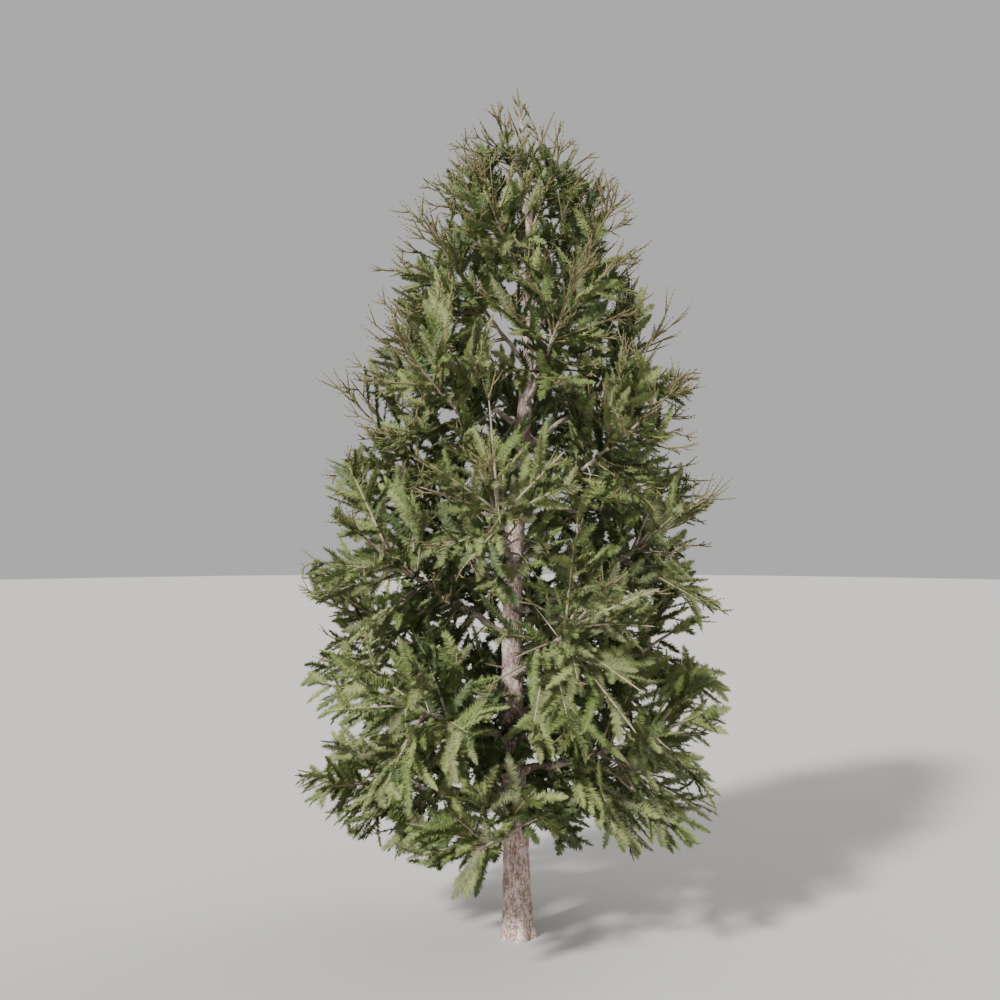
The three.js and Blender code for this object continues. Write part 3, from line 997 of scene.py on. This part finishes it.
def blade_outline(out, order, owner, lengths, chance):
    """How long needles are, as a share: less at a sprig's foot and tip, and in lobes along its edges."""
    taper = lerp(MIDDLE_FULLNESS, TIP_FULLNESS, out ** TIP_ROUNDING)
    fullness = np.minimum(1, FOOT_FULLNESS + FOOT_FILLING * out) * taper
    fullness = fullness * chance.uniform(*NEEDLE_SIZES, out.shape)
    start = chance.uniform(0, 1, (len(lengths), 2))[owner, order % 2][:, None]
    lobes = np.sin(2 * math.pi * (start + out * lengths[owner][:, None] / LOBE_LENGTH))
    return fullness * (1 + LOBE_SIZE * lobes * (1 - out ** TIP_ROUNDING))


def needle_corners(sprigs, sizes, chance):
    """Needles along both edges of sprigs: the corners of their triangles, and the sprig of each needle."""
    lengths = stacked(sprigs, "length")
    sun = np.array([sunniness(sprig) for sprig in sprigs])
    step = sizes.needle_step * lerp(SHADE_COARSENESS, 1, sun)
    counts = np.maximum(FEWEST_NEEDLES, np.round(sizes.needle_ranks * lengths / step)).astype(int)
    owner = np.repeat(np.arange(len(sprigs)), counts)
    order = np.arange(len(owner)) - np.repeat(np.cumsum(counts) - counts, counts)
    out = ((order + NEEDLE_LEAD) / counts[owner])[:, None]
    foot, direction, face, bend = (
        stacked(sprigs, name)[owner] for name in ("foot", "direction", "face", "bend")
    )
    along = unit(direction + 2 * bend * out)
    across = unit(np.cross(along, face))
    upward = np.cross(across, along)
    root = foot + lengths[owner][:, None] * (direction * out + bend * out ** 2)
    side = np.where(order % 2, 1, -1)[:, None]
    radial = unit(side * across + NEEDLE_SPLAY * chance.normal(size=out.shape) * upward)
    angle = lerp(NEEDLE_ROOT_ANGLE, NEEDLE_TIP_ANGLE, out ** NEEDLE_CLOSING)
    angle = angle + NEEDLE_ANGLE_PLAY * chance.normal(size=out.shape)
    needle = along * np.cos(angle) + radial * np.sin(angle)
    rise = np.array([sprig.branch.rise for sprig in sprigs])
    share = lerp(SHADE_NEEDLE, 1, sun) * lerp(1, HIGH_NEEDLE, rise)
    long = sizes.needle_length * share[owner][:, None] * blade_outline(out, order, owner, lengths, chance)
    flat = unit(along - needle * (along * needle).sum(1, keepdims=True))
    swivel = NEEDLE_SWIVEL * chance.normal(size=out.shape)
    flat = flat * np.cos(swivel) + np.cross(needle, flat) * np.sin(swivel)
    width = 0.5 * sizes.needle_width * lerp(SHADE_WIDTH, 1, sun)[owner][:, None] * flat
    return np.stack((root - width, root + width, root + long * needle), axis=1), owner


def joined_mesh(name, corners, faces):
    mesh = bpy.data.meshes.new(name)
    mesh.vertices.add(len(corners))
    mesh.vertices.foreach_set("co", corners.astype(np.float32).ravel())
    mesh.loops.add(faces.size)
    mesh.loops.foreach_set("vertex_index", faces.astype(np.int32).ravel())
    mesh.polygons.add(len(faces))
    mesh.polygons.foreach_set("loop_start", np.arange(0, faces.size, faces.shape[1], dtype=np.int32))
    mesh.update(calc_edges=True)
    return mesh


def modelled_mesh(name, bm):
    mesh = bpy.data.meshes.new(name)
    bm.to_mesh(mesh)
    bm.free()
    return mesh


def shown(mesh, finishes):
    """An object at the origin for a mesh that already holds its place."""
    for finish in finishes:
        mesh.materials.append(finish)
    piece = bpy.data.objects.new(mesh.name, mesh)
    bpy.context.scene.collection.objects.link(piece)
    return piece


def add_to_tree(piece, nodes=()):
    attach(piece, "root")
    if nodes:
        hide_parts(*nodes)


def new_bark():
    """An empty bmesh whose vertices can hold how deep and how young the bark is, for the bark's finish."""
    bm = bmesh.new()
    # Both layers are made before either is used, because a new layer makes older handles invalid
    bm.verts.layers.float.new("furrow")
    bm.verts.layers.float.new("youth")
    return bm


def rolled_tube(bm, sides, rings, place):
    """A grid of quads rolled into a tube, welded along its seam and closed at both ends."""
    depth, young = (bm.verts.layers.float[name] for name in ("furrow", "youth"))
    sheet = bmesh.ops.create_grid(bm, x_segments=sides, y_segments=rings, size=0.5)["verts"]
    for vertex in sheet:
        vertex.co, vertex[depth], vertex[young] = place(vertex.co.y + 0.5, 2 * math.pi * vertex.co.x)
    bmesh.ops.remove_doubles(bm, verts=sheet, dist=1e-6)
    rims = [edge for edge in bm.edges if edge.is_boundary]
    bmesh.ops.holes_fill(bm, edges=rims, sides=0)


def furrow(point, plate_width):
    """How deep a point of the bark lies, from 0 to 1: upright fissures, broken up by pits."""
    place = Vector((point[0], point[1], point[2] / FISSURE_HEIGHT)) / plate_width
    fissure = max(0.0, 1 - FISSURE_NARROWNESS * abs(noise.noise(place)))
    pit_place = place * PIT_FINENESS + PIT_PLACE
    pit = PIT_STRENGTH * noise.fractal(pit_place, PIT_SMOOTHNESS, PIT_REFINING, PIT_OCTAVES)
    pit = min(1.0, max(0.0, pit))
    return min(1.0, fissure * (FISSURE_LEAST + FISSURE_IN_PITS * pit) + PIT_DEPTH * pit)


def youth(radius):
    """How young the bark is, from 0 on old wood to 1 on the thin ends of the limbs and the trunk."""
    return min(1, max(0, (OLD_RADIUS - radius) / (OLD_RADIUS - YOUNG_RADIUS)))


def lump(point, size):
    return noise.noise(Vector(point) / size)


def trunk_mesh(sizes):
    """The trunk, its root spurs, its plates of bark and the furrows between them."""
    bm = new_bark()

    def place(height, angle):
        share = height ** RING_CROWDING
        spurs = LOBE_DEPTH * math.cos(FLARE_LOBES * angle) * math.exp(-share * HEIGHT / FLARE_HEIGHT)
        radius = float(trunk_radius(share)) * (1 + spurs)
        ray = np.array((math.cos(angle), math.sin(angle), 0))
        skin = trunk_axis(share) + radius * ray
        depth = furrow(skin, sizes.plate_width * lerp(1, TOP_PLATE, share))
        lumps = BROAD_LUMP_HEIGHT * lump(skin, BROAD_LUMP) + SMALL_LUMP_HEIGHT * lump(skin, SMALL_LUMP)
        roughness = sizes.bark_depth * lerp(1, TOP_RELIEF, share ** RELIEF_FADE)
        relief = roughness * (lumps - FURROW_DEPTH * depth)
        return Vector(skin + relief * ray), depth, youth(radius)

    rolled_tube(bm, TRUNK_SIDES, TRUNK_RINGS, place)
    return modelled_mesh("trunk_bark", bm)


def limb_mesh():
    """Every branch from inside the trunk to its tip, one tapering limb each, with a collar at its root."""
    bm = new_bark()
    # The noise vectors of the kinks follow the clock unless they are given a seed
    noise.seed_set(SEED)
    for branch in grow_branches():
        start = LIMB_ROOT * branch.foot_radius / LIMB_TO_TRUNK / branch.length

        def place(out, angle, branch=branch, start=start):
            share = lerp(start, 1, out)
            ray = round_stem(branch.tangent(share), angle)
            collar = 1 + COLLAR * math.exp(-share * branch.length / COLLAR_LENGTH)
            radius = float(branch.radius(share)) * collar
            middle = branch.point(share)
            kink = KINK * radius * np.array(noise.noise_vector(Vector(middle) / KINK_LENGTH))
            skin = middle + kink + radius * ray
            depth = furrow(skin, LIMB_PLATE)
            relief = LIMB_RELIEF * radius * (lump(skin, LIMB_LUMP) - depth)
            return Vector(skin + relief * ray), depth, youth(radius)

        rolled_tube(bm, LIMB_SIDES, LIMB_RINGS, place)
    return modelled_mesh("bough_bark", bm)


def add_node(tree, kind, inputs=(), **settings):
    """A node with its settings; an input takes a value, or a socket to link."""
    node = tree.nodes.new(kind)
    for name, value in settings.items():
        setattr(node, name, value)
    for socket, value in dict(inputs).items():
        if isinstance(value, bpy.types.NodeSocket):
            tree.links.new(value, node.inputs[socket])
        else:
            node.inputs[socket].default_value = value
    return node


def new_material(name):
    material = bpy.data.materials.new(name)
    material.use_nodes = True
    material.node_tree.nodes.clear()
    return material, material.node_tree


def rgba(colour):
    return (*colour, 1)


def scaly_bark(name, plate, pale, dark, young, plate_width):
    """Dry flaking bark: matt plates that differ in tone, paler where they were shed lately, dark in the
    furrows and in ragged cracks round the plates, and straw-coloured where it is young.
    """
    material, tree = new_material(name)
    coords = add_node(tree, "ShaderNodeTexCoord")
    tall = add_node(tree, "ShaderNodeMapping", {"Vector": coords.outputs["Object"], "Scale": (1, 1, 0.42)})
    mottle = add_node(tree, "ShaderNodeTexNoise", {
        "Vector": tall.outputs["Vector"], "Scale": 0.7 / plate_width, "Detail": 5, "Roughness": 0.65,
    })
    grain = add_node(tree, "ShaderNodeTexNoise", {
        "Vector": tall.outputs["Vector"], "Scale": 1.3 / plate_width, "Detail": 4,
    })
    flakes = add_node(tree, "ShaderNodeTexVoronoi", {
        "Vector": tall.outputs["Vector"], "Scale": 1.6 / plate_width,
    })
    furrows = add_node(tree, "ShaderNodeAttribute", attribute_name="furrow")
    grit = add_node(tree, "ShaderNodeTexNoise", {
        "Vector": coords.outputs["Object"], "Scale": 1 / (9 * MM), "Detail": 3,
    })
    paling = add_node(tree, "ShaderNodeMapRange", {
        "Value": mottle.outputs["Fac"], "From Min": 0.38, "From Max": 0.66,
    })
    wavy = add_node(tree, "ShaderNodeMix", {
        MIX_SHARE: 2 * plate_width, MIX_A: tall.outputs["Vector"], MIX_B: grain.outputs["Color"],
    }, data_type="RGBA", blend_type="ADD")
    edges = add_node(tree, "ShaderNodeTexVoronoi", {
        "Vector": wavy.outputs[MIXED], "Scale": 1.3 / plate_width,
    }, feature="DISTANCE_TO_EDGE")
    wear = add_node(tree, "ShaderNodeMapRange", {
        "Value": mottle.outputs["Fac"], "From Min": 0.64, "From Max": 0.36, "To Min": 0.02, "To Max": 0.3,
    })
    cracks = add_node(tree, "ShaderNodeMapRange", {
        "Value": edges.outputs["Distance"], "From Min": 0, "From Max": wear.outputs["Result"],
        "To Min": 0.8, "To Max": 0,
    })
    deeps = add_node(tree, "ShaderNodeMapRange", {
        "Value": furrows.outputs["Fac"], "From Min": 0.1, "From Max": 0.9, "To Min": 0, "To Max": 0.6,
    })
    seam = add_node(tree, "ShaderNodeMath", {
        0: cracks.outputs["Result"], 1: deeps.outputs["Result"],
    }, operation="MAXIMUM")
    tone = add_node(tree, "ShaderNodeMix", {
        MIX_SHARE: paling.outputs["Result"], MIX_A: rgba(plate), MIX_B: rgba(pale),
    }, data_type="RGBA")
    flaked = add_node(tree, "ShaderNodeMix", {
        MIX_SHARE: 0.22, MIX_A: tone.outputs[MIXED], MIX_B: flakes.outputs["Color"],
    }, data_type="RGBA", blend_type="SOFT_LIGHT")
    furrowed = add_node(tree, "ShaderNodeMix", {
        MIX_SHARE: seam.outputs["Value"], MIX_A: flaked.outputs[MIXED], MIX_B: rgba(dark),
    }, data_type="RGBA")
    age = add_node(tree, "ShaderNodeAttribute", attribute_name="youth")
    aged = add_node(tree, "ShaderNodeMix", {
        MIX_SHARE: age.outputs["Fac"], MIX_A: furrowed.outputs[MIXED], MIX_B: rgba(young),
    }, data_type="RGBA")
    sunken = add_node(tree, "ShaderNodeMath", {0: seam.outputs["Value"], 1: -0.5}, operation="MULTIPLY")
    height = add_node(tree, "ShaderNodeMath", {
        0: grit.outputs["Fac"], 1: sunken.outputs["Value"],
    }, operation="ADD")
    bump = add_node(tree, "ShaderNodeBump", {
        "Height": height.outputs["Value"], "Distance": 6 * MM, "Strength": 0.8,
    })
    shader = add_node(tree, "ShaderNodeBsdfPrincipled", {
        "Base Color": aged.outputs[MIXED], "Roughness": 0.92, "Specular IOR Level": 0.2,
        "Normal": bump.outputs["Normal"],
    })
    add_node(tree, "ShaderNodeOutputMaterial", {"Surface": shader.outputs["BSDF"]})
    return material


def plain_finish(name, colour, roughness, specular):
    """One colour and sheen all over. Needles vary because several such finishes are dealt out by sprig."""
    material, tree = new_material(name)
    shader = add_node(tree, "ShaderNodeBsdfPrincipled", {
        "Base Color": rgba(colour), "Roughness": roughness, "Specular IOR Level": specular,
    })
    add_node(tree, "ShaderNodeOutputMaterial", {"Surface": shader.outputs["BSDF"]})
    return material


class LARCH_OT_trunk(bpy.types.Operator):
    """Model the trunk with its root spurs and scaly bark"""

    bl_idname = "larch.trunk"
    bl_label = "Trunk"

    def execute(self, context):
        sizes, colours = context.scene.larch_sizes, context.scene.larch_colours
        bark = scaly_bark(
            "scaly larch bark", colours.bark_plate, colours.bark_pale, colours.bark_furrow,
            colours.straw_twig, sizes.plate_width,
        )
        piece = shown(trunk_mesh(sizes), [bark])
        add_to_tree(piece, ["trunk"])
        return {"FINISHED"}


class LARCH_OT_boughs(bpy.types.Operator):
    """Model every branch as a barked limb that runs from the trunk to the crown's edge"""

    bl_idname = "larch.boughs"
    bl_label = "Boughs"

    PLATE_SHARE = 0.5

    def execute(self, context):
        sizes, colours = context.scene.larch_sizes, context.scene.larch_colours
        bark = scaly_bark(
            "fissured bough bark", colours.bough_bark, colours.bough_pale, colours.bark_furrow,
            colours.straw_twig, self.PLATE_SHARE * sizes.plate_width,
        )
        piece = shown(limb_mesh(), [bark])
        add_to_tree(piece, [f"bough_{number:02d}" for number in range(1, BOUGHS + 1)])
        return {"FINISHED"}


class LARCH_OT_twigs(bpy.types.Operator):
    """Grow the leafy shoots and the twigs of their sprigs"""

    bl_idname = "larch.twigs"
    bl_label = "Leafy twigs"

    SHOOT_STATIONS = np.array((0, 0.25, 0.5, 0.75, 0.96, 1))
    SHOOT_TIP = 0.3
    SHOOT_SIDES = 5
    SPRIG_TAPER = (1, 0.6)
    SPRIG_SIDES = 3

    def execute(self, context):
        sizes, colours = context.scene.larch_sizes, context.scene.larch_colours
        shoots = [shoot for shoot in grow_shoots() if not shoot.is_leader]
        sprigs = grow_sprigs()
        stout = np.array([[min(1, shoot.length)] for shoot in shoots])
        radii = sizes.shoot_radius * stout * lerp(1, self.SHOOT_TIP, self.SHOOT_STATIONS[:-1])
        paths = np.stack([shoot.point(self.SHOOT_STATIONS) for shoot in shoots])
        shoot_tubes = tubes(paths, radii, self.SHOOT_SIDES)
        thin = sizes.sprig_radius * np.tile(self.SPRIG_TAPER, (len(sprigs), 1))
        sprig_tubes = tubes(twig_paths(sprigs, len(self.SPRIG_TAPER) + 1), thin, self.SPRIG_SIDES)
        mesh = joined_mesh("leafy_twigs", *joined(shoot_tubes, sprig_tubes))
        # Matt, dry, pale brown bark on older twigs, and smoother straw-coloured bark on those of the top
        brown = plain_finish("older twig bark", colours.brown_twig, roughness=0.85, specular=0.25)
        straw = plain_finish("young straw twig bark", colours.straw_twig, roughness=0.7, specular=0.3)
        piece = shown(mesh, [brown, straw])
        is_young = [
            np.repeat([twig.branch.fan > YOUNG_FROM for twig in twigs], len(faces) // len(twigs))
            for twigs, (_, faces) in ((shoots, shoot_tubes), (sprigs, sprig_tubes))
        ]
        mesh.polygons.foreach_set("material_index", np.concatenate(is_young).astype(np.int32))
        add_to_tree(piece)
        return {"FINISHED"}


class LARCH_OT_bare_shoots(bpy.types.Operator):
    """Grow the bare shoots of the upper crown and the spurs on them"""

    bl_idname = "larch.bare_shoots"
    bl_label = "Bare shoots"

    SHOOT_TAPER = (1, 0.85, 0.7)
    SHOOT_SIDES = 4
    FEWEST_SPURS = 2
    FIRST_SPUR = 0.1
    SPUR_LEAD = 0.6
    SPUR_ROLLS = (-0.5, 0.5)
    SPUR_LEAN = 0.5
    SPUR_THICKNESS = 0.42
    SPUR_SIDES = 3

    def execute(self, context):
        sizes, colours = context.scene.larch_sizes, context.scene.larch_colours
        chance = np.random.default_rng(SPUR_SEED)
        bare = grow_bare_shoots()
        radii = sizes.bare_radius * np.tile(self.SHOOT_TAPER, (len(bare), 1))
        shoot_tubes = tubes(twig_paths(bare, len(self.SHOOT_TAPER) + 1), radii, self.SHOOT_SIDES)
        spurs = [spur for twig in bare for spur in self.spurs(twig, sizes, chance)]
        spur_radii = np.full((len(spurs), 1), self.SPUR_THICKNESS * sizes.spur_length)
        spur_tubes = tubes(np.stack(spurs), spur_radii, self.SPUR_SIDES)
        mesh = joined_mesh("bare_shoots", *joined(shoot_tubes, spur_tubes))
        # Last year's bark: thin, smooth and straw-coloured, with a faint sheen
        straw = plain_finish("bare straw twig bark", colours.straw_twig, roughness=0.7, specular=0.3)
        add_to_tree(shown(mesh, [straw]))
        return {"FINISHED"}

    def spurs(self, twig, sizes, chance):
        """The spurs wound round a bare shoot, each as its foot and its tip."""
        count = max(self.FEWEST_SPURS, round(twig.length / sizes.spur_step))
        across = unit(np.cross(twig.direction, twig.face))
        upward = np.cross(across, twig.direction)
        for spur in range(count):
            foot = twig.point(lerp(self.FIRST_SPUR, 1, (spur + self.SPUR_LEAD) / count))
            roll = spur * GOLDEN_TURN + chance.uniform(*self.SPUR_ROLLS)
            outward = unit(leaning(across, upward, roll) + self.SPUR_LEAN * twig.direction)
            yield foot + sizes.spur_length * np.array((0, 1))[:, None] * outward


class LARCH_OT_dead_twigs(bpy.types.Operator):
    """Grow the crooked dead twigs of the inner boughs"""

    bl_idname = "larch.dead_twigs"
    bl_label = "Dead twigs"

    TWIG_RINGS = 6
    TWIG_TIP = 0.4
    TWIG_SIDES = 5

    def execute(self, context):
        sizes, colours = context.scene.larch_sizes, context.scene.larch_colours
        dead = grow_dead_twigs()
        taper = lerp(1, self.TWIG_TIP, np.linspace(0, 1, self.TWIG_RINGS))
        radii = sizes.bare_radius * np.tile(taper, (len(dead), 1))
        paths = twig_paths(dead, self.TWIG_RINGS + 1)
        mesh = joined_mesh("dead_twigs", *tubes(paths, radii, self.TWIG_SIDES))
        # Bare dead wood: bleached, dry and without sheen
        grey = plain_finish("dead twig wood", colours.dead_twig, roughness=0.9, specular=0.2)
        add_to_tree(shown(mesh, [grey]))
        return {"FINISHED"}


class LARCH_OT_needles(bpy.types.Operator):
    """Set the needles along every sprig, in pieces counted from the lowest branches up"""

    bl_idname = "larch.needles"
    bl_label = "Needles"

    # How often each tint is dealt out: in the shade inside the crown, where the darkest tint is painted
    # shade, and low and high on its outside
    TINTS = ("fresh", "olive", "green", "painted_shade", "dull")
    PAINTED_SHADE_DEAL = np.array((0.02, 0.08, 0.25, 0.6, 0.05))
    LOW_DEAL = np.array((0.34, 0.2, 0.28, 0.1, 0.08))
    HIGH_DEAL = np.array((0.14, 0.34, 0.22, 0.08, 0.22))

    def execute(self, context):
        sizes, colours = context.scene.larch_sizes, context.scene.larch_colours
        chance = np.random.default_rng(NEEDLE_SEED)
        # Soft needles with a thin coat of wax, which gives them a broad, weak sheen
        finishes = [
            plain_finish(f"{tint} larch needles", getattr(colours, tint), roughness=0.6, specular=0.3)
            for tint in self.TINTS
        ]
        for group in range(NEEDLE_PIECES):
            branches = [b.index for b in grow_branches() if b.index * NEEDLE_PIECES // BRANCHES == group]
            sprigs = [sprig for sprig in grow_sprigs() if sprig.branch.index in branches]
            corners, owner = needle_corners(sprigs, sizes, chance)
            faces = np.arange(3 * len(corners)).reshape(-1, 3)
            mesh = joined_mesh(f"needles_{group + 1}", corners.reshape(-1, 3), faces)
            tints = np.array([chance.choice(len(self.TINTS), p=self.deal(sprig)) for sprig in sprigs])
            piece = shown(mesh, finishes)
            mesh.polygons.foreach_set("material_index", tints[owner].astype(np.int32))
            add_to_tree(piece, [f"foliage_{index + 1:02d}" for index in branches])
        return {"FINISHED"}

    def deal(self, sprig):
        """How often each tint is dealt to sprigs in this place: the deeper in the shade, the more of the
        darkest tint, as painted shade.
        """
        outer = lerp(self.LOW_DEAL, self.HIGH_DEAL, sprig.branch.rise)
        return lerp(self.PAINTED_SHADE_DEAL, outer, sunniness(sprig))


class LARCH_OT_stage(bpy.types.Operator):
    """Lay the floor and set the lights and the camera"""

    bl_idname = "larch.stage"
    bl_label = "Stage"

    CAMERA_PLACE = (-0.2, -16.34, 5.14)
    LENS_MM = 50
    SENSOR_MM = 36
    FLOOR_RADIUS = 80
    FLOOR_SIDES = 96
    SKY_COLOUR = (0.94, 0.93, 0.92)
    SKY_STRENGTH = 0.54

    def execute(self, context):
        colours = context.scene.larch_colours
        bm = bmesh.new()
        bmesh.ops.create_circle(bm, cap_ends=True, segments=self.FLOOR_SIDES, radius=self.FLOOR_RADIUS)
        # A matt painted studio floor, which shows the tree's shadow and no gloss
        paint = plain_finish("matt pale floor", colours.floor, roughness=0.9, specular=0.2)
        shown(modelled_mesh("floor", bm), [paint])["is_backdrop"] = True
        self.add_sun("key", KEY_AZIMUTH, KEY_ELEVATION, strength=5.3, spread=6)
        self.add_sun("fill", azimuth=120, elevation=40, strength=1.1, spread=40)
        world = bpy.data.worlds.new("studio")
        world.use_nodes = True
        background = world.node_tree.nodes["Background"]
        background.inputs["Color"].default_value = rgba(self.SKY_COLOUR)
        background.inputs["Strength"].default_value = self.SKY_STRENGTH
        context.scene.world = world
        camera = bpy.data.objects.new("camera", bpy.data.cameras.new("camera"))
        camera.data.lens = self.LENS_MM
        camera.data.sensor_width = self.SENSOR_MM
        camera.location = self.CAMERA_PLACE
        camera.rotation_euler = (math.radians(90), 0, 0)
        context.scene.collection.objects.link(camera)
        context.scene.camera = camera
        return {"FINISHED"}

    def add_sun(self, name, azimuth, elevation, strength, spread):
        """A distant light. Azimuth 0 stands behind the camera, and less than 0 to its left."""
        light = bpy.data.lights.new(name, "SUN")
        light.energy = strength
        light.angle = math.radians(spread)
        lamp = bpy.data.objects.new(name, light)
        lamp.rotation_euler = (math.radians(90 - elevation), 0, math.radians(azimuth))
        bpy.context.scene.collection.objects.link(lamp)


OPERATORS = (
    LARCH_OT_trunk,
    LARCH_OT_boughs,
    LARCH_OT_twigs,
    LARCH_OT_bare_shoots,
    LARCH_OT_dead_twigs,
    LARCH_OT_needles,
    LARCH_OT_stage,
)


class LARCH_PT_panel(bpy.types.Panel):
    """The larch's sizes, colours and pieces"""

    bl_idname = "LARCH_PT_panel"
    bl_label = "Larch Tree"
    bl_space_type = "VIEW_3D"
    bl_region_type = "UI"
    bl_category = "Larch"

    def draw(self, context):
        for group in (context.scene.larch_sizes, context.scene.larch_colours):
            for name in group.__annotations__:
                self.layout.prop(group, name)
        for operator in OPERATORS:
            self.layout.operator(operator.bl_idname)


CLASSES = (LarchSizes, LarchColours, *OPERATORS, LARCH_PT_panel)


def register():
    for made in CLASSES:
        bpy.utils.register_class(made)
    bpy.types.Scene.larch_sizes = bpy.props.PointerProperty(type=LarchSizes)
    bpy.types.Scene.larch_colours = bpy.props.PointerProperty(type=LarchColours)


def unregister():
    del bpy.types.Scene.larch_colours
    del bpy.types.Scene.larch_sizes
    for made in reversed(CLASSES):
        bpy.utils.unregister_class(made)


def main():
    register()
    bpy.ops.larch.trunk()
    bpy.ops.larch.boughs()
    bpy.ops.larch.twigs()
    bpy.ops.larch.bare_shoots()
    bpy.ops.larch.dead_twigs()
    bpy.ops.larch.needles()
    bpy.ops.larch.stage()
    boxes = {"cad": CAD_BOX, "visual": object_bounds()}
    {name: [list(corner) for corner in box] for name, box in boxes.items()}


if __name__ == "__main__":
    main()
